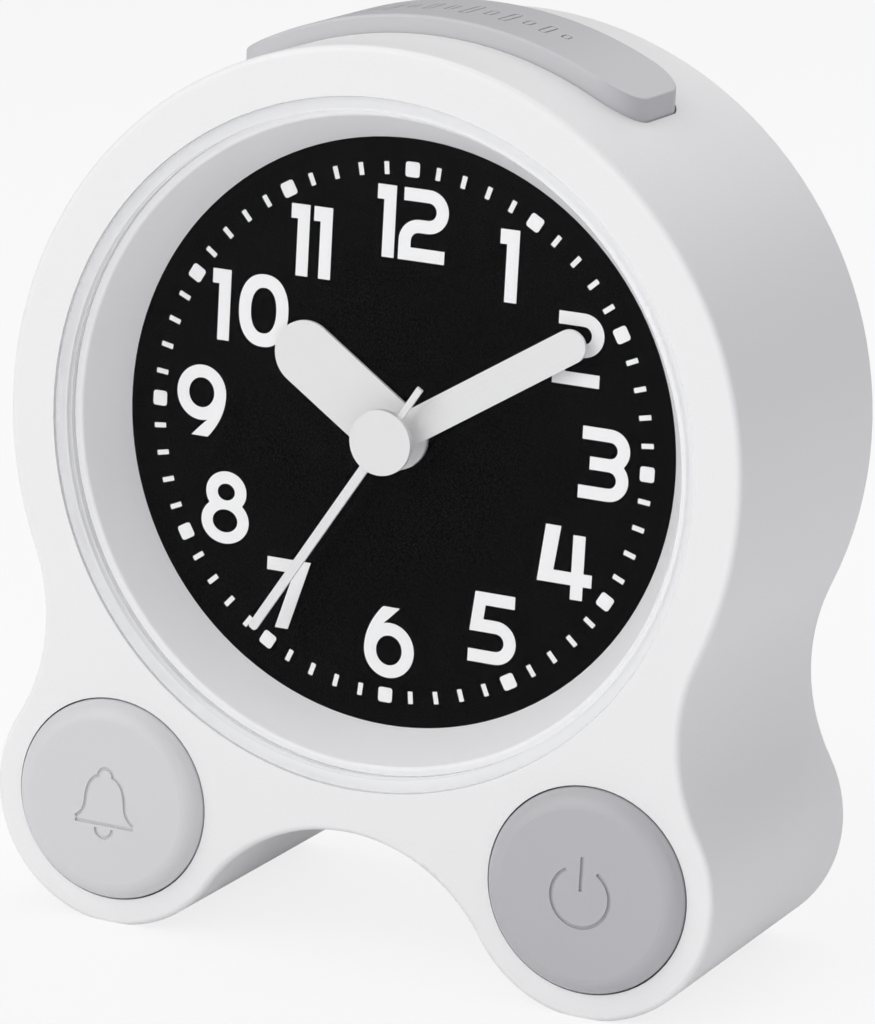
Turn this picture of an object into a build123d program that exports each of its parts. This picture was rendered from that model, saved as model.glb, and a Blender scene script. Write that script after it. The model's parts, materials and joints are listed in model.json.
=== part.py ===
"""Talking table clock, 95 mm wide, 114 mm high and 45 mm deep.

A round head stands on two lobed feet. A clear lens and a sloped surround frame the dial, each
foot carries a large round push button, and a curved bar on top is pressed to hear the time.
Behind the dial sit a two-motor movement, an aerial rod, a circuit board, a speaker and two cells.

All pieces are drawn about the middle of the dial's printed face: X to the reader's right,
Y away from the reader, Z up. The last step moves them so that the origin lies on the table
under the middle of the clock. Lengths are in millimetres and angles in degrees.
"""
import os
from math import atan2, cos, degrees, hypot, radians, sin, sqrt

from build123d import *

# Fits used all over
fit_gap = 0.1            # round a fixed piece in its seat
slide_gap = 0.2          # round a piece that is pressed or slid
run_gap = 0.05           # round a turning shaft
seat_gap = 0.02          # between a hand and the pipe that carries it
cut_over = 1.0           # how far a cut runs past the face it opens

# Dial window, from the dial outwards
window_margin = 7.7      # black dial beyond the movement's half width
cone_width = 3.4         # sloped part of the surround, seen from the front
lip_width = 0.9          # flat lip round the slope
lens_edge_width = 1.4    # thick clear rim of the lens
bezel_width = 5.9        # housing face outside the lens

# Body outline
well_gap = 0.15          # between the lens collar and the button wells
foot_angle = 33.06       # of the foot's centre from straight down
waist_radius = 24.0      # hollow between head and foot
arch_gap = 3.0           # between the lens collar and the top of the hollow between the feet
foot_flat_depth = 0.3    # flat that each foot stands on

# Body depth, from the dial's printed face
front_reach = 9.2
wall = 2.0
front_edge_round = 0.8
back_edge_round = 0.6

# Lens and surround
lens_recess = 0.4        # lens face behind the housing's face
lens_thickness = 1.4
lens_tab_thickness = 1.0
lens_tab_reach = 1.3     # tab outside the lens rim, behind the housing's face
lens_tab_count = 12
lens_tab_angle = 6.5
lens_tab_turn = 7.0      # first tab, clockwise from straight up
surround_gap = 0.95      # between the surround's lip and the lens
surround_round = 0.5     # where the slope meets the lip
surround_wall = 1.1
collar_wall = 1.2        # ring inside the housing that centres the stack

# Dial and the plate behind it
dial_thickness = 0.5
dial_margin = 5.2        # dial hidden behind the surround
plate_thickness = 1.6
plate_ear_radius = 3.0
plate_ear_reach = 3.3    # ear's screw outside the plate's edge
plate_ear_angle = 18.0   # of each ear from straight down
plate_screw_radius = 1.1
plate_screw_length = 6.0
plate_hook_angle = 40.0  # of each housing hook from straight up
plate_hook_width = 6.0
plate_hook_lap = 0.7
plate_hook_thickness = 1.4

# Front push buttons
button_radius = 12.5
button_face_radius = 10.3
button_proud = 1.9
button_travel = 0.8
button_wall = 1.6
button_flange_reach = 0.8
button_flange_thickness = 1.2
button_skirt_depth = 3.0  # behind the flange
button_stem_radius = 2.0
button_shoulder_share = 0.66  # how far out the shoulder bulges before it turns in
button_board_depth = 2.0  # front face of the small board behind each button
button_board_thickness = 1.2
button_board_lap = 0.3
well_wall = 1.2

# Push switches, all alike
switch_width = 6.0
switch_height = 3.4
plunger_radius = 1.7
plunger_proud = 1.2
plunger_depth = 1.4      # of the plunger inside the switch
switch_pocket_depth = 2.6

# Bar on top
bar_front = 3.5
bar_back = 20.3
bar_half_angle = 31.5    # end of the bar, from straight up
bar_proud = 2.2
bar_corner_radius = 4.8
bar_edge_round = 0.4
bar_wall = 1.6
bar_flange_reach = 1.4
bar_flange_thickness = 1.2
bar_travel = 1.0
bar_switch_depth = 14.9
bar_switch_gap = 4.0     # between the movement and the bar's switch
bar_spring_offset = 18.0
bar_spring_radius = 2.2
bar_spring_wire = 0.5
bar_spring_depth = 12.3
shelf_width = 6.0
shelf_margin = 1.3       # shelf behind the spring
shelf_thickness = 1.4
shelf_web_height = 4.0
shelf_rise = 0.2         # of the spring shelves above the bar's switch

# Hands, shown at 10:09:35. Angles are clockwise from twelve.
hour_angle = 300.0
hour_slip_angle = -0.7   # short of the place that the minute hand gives
minute_angle = 57.5
second_angle = 212.4
hour_hand_length = 18.9
hour_hand_width = 8.1
minute_hand_length = 28.3
minute_hand_width = 4.1
minute_hub_radius = 2.6
second_hand_length = 30.1
second_hand_tail = 8.3
second_hand_width = 1.15
second_tail_width = 0.8
second_tip_round = 0.4
second_cap_radius = 3.95
second_cap_thickness = 0.8
hand_thickness = 0.4
hour_hand_lift = 0.4     # back of each hand ahead of the dial
minute_hand_lift = 1.5
second_hand_lift = 3.8
second_sleeve_radius = 1.2
second_sleeve_length = 0.5

# Movement case
case_size = 56.0
case_corner_radius = 4.0
case_wall = 1.2
case_floor = 1.0
case_post_radius = 3.0
case_post_inset = 4.8
case_screw_radius = 0.9
case_screw_head_radius = 2.0
case_screw_head_height = 1.1
midplate_thickness = 1.0
bearing_depth = 0.6
lug_length = 6.3
lug_half_width = 3.0
lug_thickness = 1.6
lug_offset = 3.5         # lug's screw outside the case wall
lug_rise = 4.0           # lug above the plate
lug_boss_radius = 2.8
lug_screw_radius = 1.0
lug_screw_head_radius = 1.9
lug_screw_head_height = 1.2
bush_radius = 4.0
bush_lift = 0.2          # bush end ahead of the dial

# Wheels of the movement
wheel_thickness = 0.8
layer_gap = 0.25
tooth_tip_share = 0.8    # of the module, above the pitch circle
tooth_root_share = 1.05  # of the module, below the pitch circle
tip_half_share = 0.12    # half the tooth's width at its tip, as part of the tooth spacing
root_half_share = 0.28
arbor_radius = 0.45
centre_arbor_radius = 0.5
minute_pipe_radius = 1.6
hour_pipe_radius = 2.5
minute_pinion_teeth = 12
transfer_wheel_teeth = 36
transfer_pinion_teeth = 10
hour_wheel_teeth = 40
drive_wheel_teeth = 50
drive_pinion_teeth = 10
step_wheel_teeth = 48
step_pinion_teeth = 8
motor_inset = 9.94       # rotor's axis in from the case's side wall
motor_drop = 3.08        # rotor's axis below the dial's centre
drive_share = 0.5        # place of the drive arbor between the centre and the rotor
transfer_margin = 1.025  # by which the transfer arbor stands further out than the drive arbor
transfer_turn = 60.0     # direction of the transfer arbor from the centre, from +X

# Stepping motors
rotor_radius = 2.2
rotor_length = 2.2
rotor_offset = 0.7       # magnet from its pinion
stator_gap = 0.3
stator_arbor_gap = 1.03  # between a stator's leg and the drive arbor's axis
stator_leg = 3.0
stator_head = 4.0        # from the rotor's axis to the upper edge
stator_core = 2.4
stator_thickness = 1.2
coil_gap = 0.4           # between a coil's end and the stator's leg
coil_inset = 8.72        # coil's axis in from the case's lower wall
coil_height = 5.6
coil_depth = 2.6
stator_peg_radius = 1.3

# Back cover
cover_thickness = 2.2
cover_gap = 0.15
boss_radius = 3.0
boss_inset = 3.6         # boss's axis in from the wall's inner face
boss_rib = 2.0           # thickness of the rib between boss and wall
rib_sink = 0.6           # how far a rib runs into the wall beside it
boss_front = 2.6
boss_turn = 38.0         # upper bosses, from +X
pilot_depth = 9.0
cover_screw_radius = 1.25
cover_screw_head_radius = 2.6
cover_screw_head_height = 0.9
cover_screw_seat = 1.0   # depth of the recess for the head
cover_screw_length = 7.5
cross_width = 0.6
cross_length = 3.0
cross_depth = 0.5
grille_radius = 12.5
grille_slot_width = 1.4
grille_pitch = 3.1
grille_slots_each_side = 3
post_radius = 4.0
post_wall = 1.3

# Battery bay
cell_radius = 7.25
cell_length = 49.5
cell_nub_radius = 2.75
cell_nub_length = 1.0
cell_gap = 0.3
bay_gap = 0.275          # between the movement and the bay
bay_centre = -22.0       # height of the bay's middle
bay_wall = 1.4
contact_thickness = 0.4
contact_dimple = 0.6
contact_width = 9.0
spring_length = 5.1      # pressed between a cell and its contact
spring_large_radius = 4.6
spring_small_radius = 2.6
spring_wire = 0.6

# Battery door
door_thickness = 1.6
door_lap = 0.5           # how far the door rests on the bay's walls
door_hinge_inset = 1.3   # hinge line in from the door's outer face
door_pin_radius = 0.6
door_pin_length = 1.2
door_grip_radius = 5.0
door_grip_depth = 0.7
door_slit = 0.7
door_tongue_width = 11.0
door_tongue_length = 8.0

# Circuit board and what stands on it
board_gap = 2.2          # between the movement and the board
board_thickness = 1.6
board_edge_gap = 4.5     # between the board's round edge and the housing
board_half_width = 38.0
board_bottom = -3.0
board_top_margin = 1.1   # board above the bar's switch
board_screw_radius = 1.0
board_screw_head_radius = 2.0
board_screw_head_height = 1.0
board_post_radius = 2.6
board_post_inset = 2.0   # upper posts in from the board's round edge
upper_post_turn = 57.4   # of the right upper post, from +X
lower_post_offset = 34.0
lower_post_height = 3.0
board_notch_gap = 0.6
chip_width = 10.0
chip_height = 7.5
chip_thickness = 2.2
chip_spot = (-14.0, 1.5)
chip_pin_count = 10
chip_pin_width = 0.45
chip_pin_reach = 1.2
crystal_radius = 1.5
crystal_length = 8.0
crystal_spot = (-13.0, 9.0)
capacitor_radius = 3.1
capacitor_length = 6.5
capacitor_spots = ((13.0, 1.5), (20.5, 1.5))

# Speaker
speaker_height = 21.0
speaker_radius = 14.0
speaker_rim = 1.0
speaker_depth = 6.5
speaker_throat_radius = 8.2
speaker_wall = 0.8
magnet_radius = 8.0
magnet_length = 3.2
cone_radius = 12.2
cone_inner_radius = 4.0
cone_drop = 3.2
cone_thickness = 0.4
speaker_ring_height = 4.0

# Aerial
aerial_radius = 4.0
aerial_length = 56.0
aerial_gap = 4.0         # between the movement and the aerial rod
aerial_depth = 8.0
aerial_coil_wall = 1.2
aerial_coil_length = 22.0
saddle_width = 4.0
saddle_height = 7.0
saddle_offset = 17.0

# Small controls on the back
set_button_radius = 3.0
set_button_travel = 0.7
set_button_recess = 0.3
set_button_inset = 1.0   # buttons' axes in from the movement's side
set_button_heights = (22.0, 10.0)
volume_travel = 4.0
volume_height = 1.5
volume_knob_width = 2.4
volume_knob_height = 3.0
volume_switch_width = 9.0
volume_switch_height = 4.6
volume_switch_depth = 3.4
volume_stem_depth = 1.2

# Radii of the dial window
dial_edge_radius = case_size / 2 + window_margin
lens_bore_radius = dial_edge_radius + cone_width + lip_width + fit_gap
lens_radius = lens_bore_radius + lens_edge_width
lens_opening_radius = lens_radius + fit_gap
stack_radius = lens_radius + lens_tab_reach
collar_radius = stack_radius + fit_gap
head_radius = lens_opening_radius + bezel_width
head_inner_radius = head_radius - wall

# Body places
button_collar_radius = button_radius + button_flange_reach + slide_gap
foot_radius = button_collar_radius + button_board_lap + slide_gap + wall
foot_distance = collar_radius + collar_wall + well_gap + button_collar_radius
foot_x = foot_distance * sin(radians(foot_angle))
foot_z = -foot_distance * cos(radians(foot_angle))
arch_top = -(collar_radius + collar_wall + arch_gap)
arch_drop = arch_top - foot_z
arch_radius = (foot_x ** 2 + arch_drop ** 2 - foot_radius ** 2) / (2 * (foot_radius + arch_drop))
front_y = -front_reach
inner_front_y = front_y + wall

# Stack of lens, surround, dial and plate
lens_front_y = front_y + lens_recess
lens_back_y = lens_front_y + lens_thickness
tab_front_y = inner_front_y + fit_gap / 2
tab_back_y = tab_front_y + lens_tab_thickness
surround_front_y = lens_back_y + surround_gap
surround_flange_y = tab_back_y + fit_gap / 2
plate_front_y = dial_thickness
plate_back_y = plate_front_y + plate_thickness

# Layers of the movement, from the dial backwards
case_front_y = plate_back_y
case_inner_y = case_front_y + case_floor
layer_pitch = wheel_thickness + layer_gap
hour_layer_y = case_inner_y + layer_gap / 2
transfer_layer_y = hour_layer_y + layer_pitch
minute_layer_y = transfer_layer_y + layer_pitch
minute_step_layer_y = minute_layer_y + layer_pitch
midplate_y = minute_step_layer_y + layer_pitch
midplate_back_y = midplate_y + midplate_thickness
second_layer_y = midplate_back_y + layer_gap
second_step_layer_y = second_layer_y + layer_pitch
second_magnet_y = second_step_layer_y + wheel_thickness + rotor_offset
case_split_y = (midplate_y + midplate_back_y) / 2
case_cover_y = second_magnet_y + rotor_length + rotor_offset
case_back_y = case_cover_y + case_wall
minute_magnet_y = minute_step_layer_y - rotor_offset - rotor_length
front_bearing_y = case_inner_y - bearing_depth
midplate_front_bearing_y = midplate_y + bearing_depth
midplate_back_bearing_y = midplate_back_y - bearing_depth
rear_bearing_y = case_cover_y + bearing_depth

# Motors and what stands round the movement
motor_x = case_size / 2 - case_wall - motor_inset
drive_distance = hypot(motor_x * drive_share, motor_drop)
step_distance = motor_x * (1 - drive_share)
transfer_distance = drive_distance + transfer_margin
stator_half_width = step_distance - stator_arbor_gap
stator_drop = case_size / 2 - case_wall - coil_inset - motor_drop
coil_length = 2 * (stator_half_width - stator_leg - coil_gap)
aerial_height = -(case_size / 2 + aerial_gap + aerial_radius)
bar_switch_height = case_size / 2 + bar_switch_gap + switch_height
shelf_top = bar_switch_height + shelf_rise
board_radius = head_inner_radius - board_edge_gap
board_top = bar_switch_height + board_top_margin

# Battery bay and back of the body
bay_half_width = (cell_length + cell_nub_length + 2 * contact_thickness + contact_dimple
                  + spring_length) / 2
bay_half_height = 2 * cell_radius + 1.5 * cell_gap
bay_floor_y = case_back_y + bay_gap + bay_wall
door_inner_y = bay_floor_y + 2 * cell_radius + 2 * cell_gap
back_y = door_inner_y + door_thickness
cover_y = back_y - cover_thickness
cell_y = bay_floor_y + cell_gap / 2 + cell_radius
cell_rows = (bay_centre + cell_radius + cell_gap / 2, bay_centre - cell_radius - cell_gap / 2)
nub_x = bay_half_width - contact_thickness - contact_dimple
door_pivot_y = back_y - door_hinge_inset
door_pivot_z = bay_centre - bay_half_height - door_lap
board_front = case_back_y + board_gap
board_back = board_front + board_thickness

# Height of the dial above the table, and the middle of the depth
dial_z = foot_radius - foot_flat_depth - foot_z
dial_y = (front_reach + button_proud - back_y) / 2


def polar(distance, angle):
    """Spot at an angle from +X, counted towards +Z."""
    return (distance * cos(radians(angle)), distance * sin(radians(angle)))


def slab(sketch, front, back):
    """Solid between two depths, from a sketch drawn in X and Z."""
    plane = Plane(origin=(0, back, 0), x_dir=(1, 0, 0), z_dir=(0, -1, 0))
    return extrude(plane * sketch, amount=back - front)


def disc(radius, front, back, spot=(0, 0)):
    """Round bar along Y."""
    return slab(Pos(*spot) * Circle(radius), front, back)


def ring(outer, inner, front, back, spot=(0, 0)):
    """Tube along Y."""
    return slab(Pos(*spot) * (Circle(outer) - Circle(inner)), front, back)


def block(width, height, front, back, spot=(0, 0)):
    """Rectangular bar along Y, centred on its spot."""
    return slab(Pos(*spot) * Rectangle(width, height), front, back)


def turned(*points):
    """Solid turned about the dial's axis from points of radius and depth."""
    return revolve(make_face(Polyline(*points, close=True)), Axis.Y)


def bulge(start, end, centre, radius, side):
    """Arc round a centre from start to end that passes on the given side."""
    chord = end - start
    normal = Vector(-chord.Y, chord.X).normalized()
    if normal.dot(side) < 0:
        normal = -normal
    return ThreePointArc(start, centre + normal * radius, end)


def waist_centre():
    """Centre of the hollow that touches the head's circle and the right foot's circle."""
    foot = Vector(foot_x, foot_z)
    to_head = head_radius + waist_radius
    to_foot = foot_radius + waist_radius
    along = (to_head ** 2 - to_foot ** 2 + foot.length ** 2) / (2 * foot.length)
    across = sqrt(to_head ** 2 - along ** 2)
    down = foot.normalized()
    return down * along + Vector(-down.Y, down.X) * across


def arch_centre():
    """Centre of the hollow that touches both feet."""
    return Vector(0, arch_top - arch_radius)


def body_outline(inset=0):
    """Outline of the body in X and Z, moved in by an inset, from seven tangent arcs."""
    head = Vector(0, 0)
    foot = Vector(foot_x, foot_z)
    waist = waist_centre()
    arch = arch_centre()
    head_r = head_radius - inset
    foot_r = foot_radius - inset
    waist_r = waist_radius + inset
    shoulder = head + (waist - head).normalized() * head_r
    heel = foot + (waist - foot).normalized() * foot_r
    toe = foot + (arch - foot).normalized() * foot_r
    half = [
        bulge(shoulder, heel, waist, waist_r, foot - waist),
        bulge(heel, toe, foot, foot_r, foot - head),
    ]
    other = [mirror(edge, about=Plane.YZ) for edge in half]
    mirrored_shoulder = Vector(-shoulder.X, shoulder.Y)
    mirrored_toe = Vector(-toe.X, toe.Y)
    crown = ThreePointArc(mirrored_shoulder, Vector(0, head_r), shoulder)
    arch_arc = ThreePointArc(toe, arch + Vector(0, arch_radius + inset), mirrored_toe)
    return make_face([crown, *half, arch_arc, *other])


feet = ((-foot_x, foot_z), (foot_x, foot_z))
waist_boss_x = waist_centre().X - waist_radius - wall - boss_inset
upper_boss = polar(head_inner_radius - boss_inset, boss_turn)
boss_spots = (
    upper_boss,
    (-upper_boss[0], upper_boss[1]),
    (waist_boss_x, waist_centre().Y),
    (-waist_boss_x, waist_centre().Y),
)
ear_spots = [polar(stack_radius + plate_ear_reach, -90 + turn)
             for turn in (-plate_ear_angle, plate_ear_angle)]
lug_spots = [(side * (case_size / 2 + lug_offset), 0) for side in (-1, 1)]
post_spots = [(x * (case_size / 2 - case_post_inset), z * (case_size / 2 - case_post_inset))
              for x in (-1, 1) for z in (-1, 1)]
upper_post = polar(board_radius - board_post_inset, upper_post_turn)
board_post_spots = [(side * x, z) for side in (-1, 1)
                    for x, z in (upper_post, (lower_post_offset, lower_post_height))]
set_button_spots = [(side * (case_size / 2 - set_button_inset), height)
                    for side in (-1, 1) for height in set_button_heights]
boss_rib_turns = (boss_turn, 180 - boss_turn, 0, 180)
button_cup_y = front_y - button_proud + button_wall
button_plunger_y = button_board_depth - switch_height - plunger_proud
button_board_back = button_board_depth + button_board_thickness


def bar_plan(grow=0):
    """Plan of the top bar in X and Y, grown outwards."""
    half_width = (head_radius + bar_proud) * sin(radians(bar_half_angle)) + grow
    depth = bar_back - bar_front + 2 * grow
    plan = RectangleRounded(2 * half_width, depth, bar_corner_radius + grow)
    return Pos(0, (bar_front + bar_back) / 2) * plan


def bar_layer(grow, inner, outer):
    """Part of the bar's upright prism that lies between two radii of the head."""
    upright = extrude(Pos(0, 0, shelf_top / 2) * bar_plan(grow), amount=2 * head_radius)
    return upright & ring(outer, inner, bar_front - cut_over - grow, bar_back + cut_over + grow)


# Case

def make_front_housing():
    """Moulded shell: face, side walls, wells, lens collar, bosses and hooks."""
    shell = slab(body_outline(), front_y, back_y)
    shell = fillet(shell.faces().sort_by(Axis.Y)[0].edges(), front_edge_round)
    shell = fillet(shell.faces().sort_by(Axis.Y)[-1].edges(), back_edge_round)
    shell -= slab(body_outline(wall), inner_front_y, back_y + cut_over)
    shell += ring(collar_radius + collar_wall, collar_radius, inner_front_y, plate_front_y)
    for foot in feet:
        well_outer = button_collar_radius + well_wall
        shell += ring(well_outer, button_collar_radius, inner_front_y, button_board_depth, foot)
    for spot, turn in zip(boss_spots, boss_rib_turns):
        shell += disc(boss_radius, boss_front, cover_y, spot)
        rib = Pos((boss_inset + rib_sink) / 2, 0) * Rectangle(boss_inset + rib_sink, boss_rib)
        shell += slab(Pos(*spot) * Rot(0, 0, turn) * rib, boss_front, cover_y)
    for spot in ear_spots:
        shell += disc(plate_ear_radius - fit_gap, inner_front_y, plate_front_y, spot)
    for turn in (90 - plate_hook_angle, 90 + plate_hook_angle):
        reach = head_inner_radius - stack_radius + plate_hook_lap + rib_sink
        spot = polar(stack_radius - plate_hook_lap + reach / 2, turn)
        hook_front = plate_back_y + fit_gap / 2
        hook = Rot(0, 0, turn) * Rectangle(reach, plate_hook_width)
        shell += slab(Pos(*spot) * hook, hook_front, hook_front + plate_hook_thickness)
    shell -= disc(lens_opening_radius, front_y - cut_over, inner_front_y)
    for foot in feet:
        shell -= disc(button_radius + slide_gap, front_y - cut_over, inner_front_y, foot)
    for spot in boss_spots:
        shell -= disc(cover_screw_radius, cover_y - pilot_depth, cover_y + cut_over, spot)
    for spot in ear_spots:
        shell -= disc(plate_screw_radius, plate_front_y - plate_screw_length, plate_front_y, spot)
    slot = extrude(Pos(0, 0, shelf_top) * bar_plan(slide_gap), amount=head_radius)
    shell -= slot
    table = -dial_z
    width = 4 * foot_x
    shell -= Pos(0, 0, table - foot_radius / 2) * Box(width, 4 * back_y, foot_radius)
    return shell


def make_rear_cover():
    """Back cover with speaker grille, battery bay, posts and the openings for the controls."""
    cover = slab(body_outline(wall + cover_gap), cover_y, back_y)
    bay_outer_width = 2 * (bay_half_width + bay_wall)
    bay_outer_height = 2 * (bay_half_height + bay_wall)
    cover += block(bay_outer_width, bay_outer_height, bay_floor_y - bay_wall, door_inner_y,
                   (0, bay_centre))
    for foot in feet:
        cover += ring(post_radius, post_radius - post_wall, button_board_back, cover_y, foot)
    for spot in board_post_spots:
        cover += disc(board_post_radius, board_back, cover_y, spot)
        cover -= disc(board_screw_radius, board_back - cut_over, board_back + pilot_depth, spot)
    ring_inner = speaker_radius + fit_gap
    cover += ring(ring_inner + speaker_wall, ring_inner, cover_y - speaker_ring_height, cover_y,
                  (0, speaker_height))
    cover -= block(2 * bay_half_width, 2 * bay_half_height, bay_floor_y, back_y + cut_over,
                   (0, bay_centre))
    opening_top = bay_centre + bay_half_height + door_lap + slide_gap
    opening_bottom = door_pivot_z - door_hinge_inset - slide_gap
    opening_height = opening_top - opening_bottom
    opening_spot = (0, (opening_top + opening_bottom) / 2)
    opening_width = 2 * (bay_half_width + door_lap + slide_gap)
    cover -= block(opening_width, opening_height, door_inner_y - slide_gap / 2,
                   back_y + cut_over, opening_spot)
    nose_height = 2 * (door_hinge_inset + slide_gap)
    cover -= block(opening_width, nose_height, door_pivot_y - nose_height / 2,
                   back_y + cut_over, (0, door_pivot_z))
    pin_run = opening_width + 2 * door_pin_length
    cover -= lying_bar(door_pin_radius + run_gap, pin_run, door_pivot_y, door_pivot_z)
    for spot in boss_spots:
        cover -= disc(cover_screw_radius + fit_gap, cover_y - cut_over, back_y, spot)
        cover -= disc(cover_screw_head_radius + fit_gap, back_y - cover_screw_seat,
                      back_y + cut_over, spot)
    for number in range(-grille_slots_each_side, grille_slots_each_side + 1):
        height = number * grille_pitch
        length = 2 * sqrt(grille_radius ** 2 - height ** 2)
        slot = Pos(0, speaker_height + height) * SlotOverall(length, grille_slot_width)
        cover -= slab(slot, cover_y - cut_over, back_y + cut_over)
    for spot in set_button_spots:
        cover -= disc(set_button_radius + slide_gap, cover_y - cut_over, back_y + cut_over, spot)
    slider = RectangleRounded(volume_travel + volume_knob_width + 2 * slide_gap,
                              volume_knob_height + 2 * slide_gap, 2 * slide_gap)
    cover -= slab(Pos(0, volume_height) * slider, cover_y - cut_over, back_y + cut_over)
    return cover


def lying_bar(radius, length, depth, height, centre=0):
    """Round bar along X."""
    return Pos(centre, depth, height) * Rot(0, 90, 0) * Cylinder(radius, length)


def make_battery_door():
    """Flush door with a rounded lower edge, two hinge pins, a latch tongue and a thumb dent."""
    top = bay_centre + bay_half_height + door_lap
    width = 2 * (bay_half_width + door_lap)
    height = top - door_pivot_z
    door = block(width, height, door_inner_y, back_y, (0, door_pivot_z + height / 2))
    nose = lying_bar(door_hinge_inset, width, door_pivot_y, door_pivot_z)
    nose &= block(width, 2 * door_hinge_inset, door_inner_y, back_y,
                  (0, door_pivot_z - door_hinge_inset))
    door += nose
    door += lying_bar(door_pin_radius, width + 2 * door_pin_length, door_pivot_y, door_pivot_z)
    grip_z = top - door_tongue_length / 2
    for side in (-1, 1):
        spot = (side * door_tongue_width / 2, top - door_tongue_length / 2)
        door -= block(door_slit, door_tongue_length, door_inner_y - cut_over, back_y + cut_over,
                      spot)
    dent = Pos(0, grip_z) * Circle(door_grip_radius)
    dent &= Pos(0, grip_z + door_grip_radius / 2) * Rectangle(2 * door_grip_radius,
                                                              door_grip_radius)
    door -= slab(dent, back_y - door_grip_depth, back_y + cut_over)
    return door


def cross_recess(spot, face_y):
    """Cross cut into a screw head whose face looks towards +Y."""
    cut = block(cross_length, cross_width, face_y - cross_depth, face_y + cut_over, spot)
    return cut + block(cross_width, cross_length, face_y - cross_depth, face_y + cut_over, spot)


def make_cover_screws():
    """Four screws that hold the back cover to the housing's bosses."""
    screws = []
    for spot in boss_spots:
        seat = back_y - cover_screw_seat
        face = seat + cover_screw_head_height
        screw = disc(cover_screw_head_radius, seat, face, spot)
        screw += disc(cover_screw_radius - seat_gap, seat - cover_screw_length, seat, spot)
        screws.append(screw - cross_recess(spot, face))
    return Compound(screws)


# Window and dial

def make_lens():
    """Clear plate with a thick rim and twelve tabs that sit behind the housing's face."""
    lens = disc(lens_radius, lens_front_y, lens_back_y)
    lens += ring(lens_radius, lens_bore_radius, lens_back_y, tab_back_y)
    for number in range(lens_tab_count):
        turn = 90 - lens_tab_turn - number * 360 / lens_tab_count
        tab = slab(tab_sector(turn), tab_front_y, tab_back_y)
        lens += tab
    return lens


def tab_sector(turn):
    """Slice of a ring that one lens tab fills, centred on a direction from +X."""
    whole = Circle(stack_radius) - Circle(lens_bore_radius)
    reach = stack_radius * 2
    spread = lens_tab_angle / 2
    wedge = make_face(Polyline((0, 0), polar(reach, turn - spread), polar(reach, turn + spread),
                               close=True))
    return whole & wedge


def make_reflector_ring():
    """Sloped surround between dial and lens, with a lip, a hollow back and a flange."""
    inner = dial_edge_radius
    crest = inner + cone_width
    lip = crest + lip_width
    skin = surround_wall
    roof_y = surround_flange_y + skin
    roof_start = inner + skin + cone_width * roof_y / surround_front_y
    body = turned(
        (inner, 0), (crest, surround_front_y), (lip, surround_front_y),
        (lip, surround_flange_y), (stack_radius, surround_flange_y), (stack_radius, 0),
        (stack_radius - skin, 0), (stack_radius - skin, roof_y), (roof_start, roof_y),
        (inner + skin, 0))
    front_edges = body.edges().group_by(Axis.Y)[0]
    return fillet(front_edges.sort_by(SortBy.RADIUS)[0], surround_round)


def make_dial():
    """Thin black printed disc with the hole for the movement's bush."""
    return ring(dial_edge_radius + dial_margin, bush_radius + fit_gap, 0, dial_thickness)


def make_dial_plate():
    """Carrier behind the dial: ears, bosses for the movement, aerial saddles, spring shelves."""
    plate = disc(stack_radius, plate_front_y, plate_back_y)
    for spot, turn in zip(ear_spots, (-plate_ear_angle, plate_ear_angle)):
        plate += disc(plate_ear_radius, plate_front_y, plate_back_y, spot)
        web = Pos(-plate_ear_reach, 0) * Rectangle(2 * plate_ear_reach, 2 * plate_ear_radius)
        plate += slab(Pos(*spot) * Rot(0, 0, turn - 90) * web, plate_front_y, plate_back_y)
    for spot in lug_spots:
        plate += disc(lug_boss_radius, plate_front_y, plate_back_y + lug_rise, spot)
    for side in (-1, 1):
        spot = (side * saddle_offset, aerial_height)
        plate += block(saddle_width, saddle_height, plate_front_y,
                       aerial_depth - aerial_radius / 2, spot)
        shelf_x = side * bar_spring_offset
        shelf_back = bar_spring_depth + bar_spring_radius + shelf_margin
        plate += block(shelf_width, shelf_thickness, plate_front_y, shelf_back,
                       (shelf_x, shelf_top - shelf_thickness / 2))
        plate += block(shelf_thickness, shelf_web_height, plate_front_y, bar_spring_depth,
                       (shelf_x, shelf_top - shelf_web_height / 2))
    plate -= lying_bar(aerial_radius + seat_gap, aerial_length, aerial_depth, aerial_height)
    plate -= disc(bush_radius + fit_gap, plate_front_y - cut_over, plate_back_y + cut_over)
    for spot in ear_spots:
        plate -= disc(plate_screw_radius + fit_gap, plate_front_y - cut_over,
                      plate_back_y + cut_over, spot)
    for spot in lug_spots:
        plate -= disc(lug_screw_radius, plate_back_y - plate_thickness / 2,
                      plate_back_y + lug_rise + cut_over, spot)
    return plate


def make_dial_plate_screws():
    """Two screws through the ears of the dial plate."""
    screws = []
    for spot in ear_spots:
        head = disc(plate_ear_radius * 2 / 3, plate_back_y, plate_back_y + plate_thickness, spot)
        tip = plate_front_y - plate_screw_length + fit_gap
        screws.append(head + disc(plate_screw_radius - seat_gap, tip, plate_back_y, spot))
    return Compound(screws)


# Hands

def hand_angle(turn):
    """Direction from +X of a hand that stands clockwise from twelve."""
    return 90 - turn


def bar_hand(length, width, hub, turn):
    """Flat hand with a round tip and a round hub."""
    blade = Pos((length - width / 2) / 2, 0) * Rectangle(length - width / 2, width)
    tip = Pos(length - width / 2, 0) * Circle(width / 2)
    return Rot(0, 0, hand_angle(turn)) * (blade + tip + Circle(hub))


def make_hour_hand():
    """Broad hand with two round ends, pressed on the hour wheel's pipe."""
    turn = hour_angle + minute_angle / 12 + hour_slip_angle
    shape = bar_hand(hour_hand_length, hour_hand_width, hour_hand_width / 2, turn)
    shape -= Circle(hour_pipe_radius + seat_gap)
    return slab(shape, -hour_hand_lift - hand_thickness, -hour_hand_lift)


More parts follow.
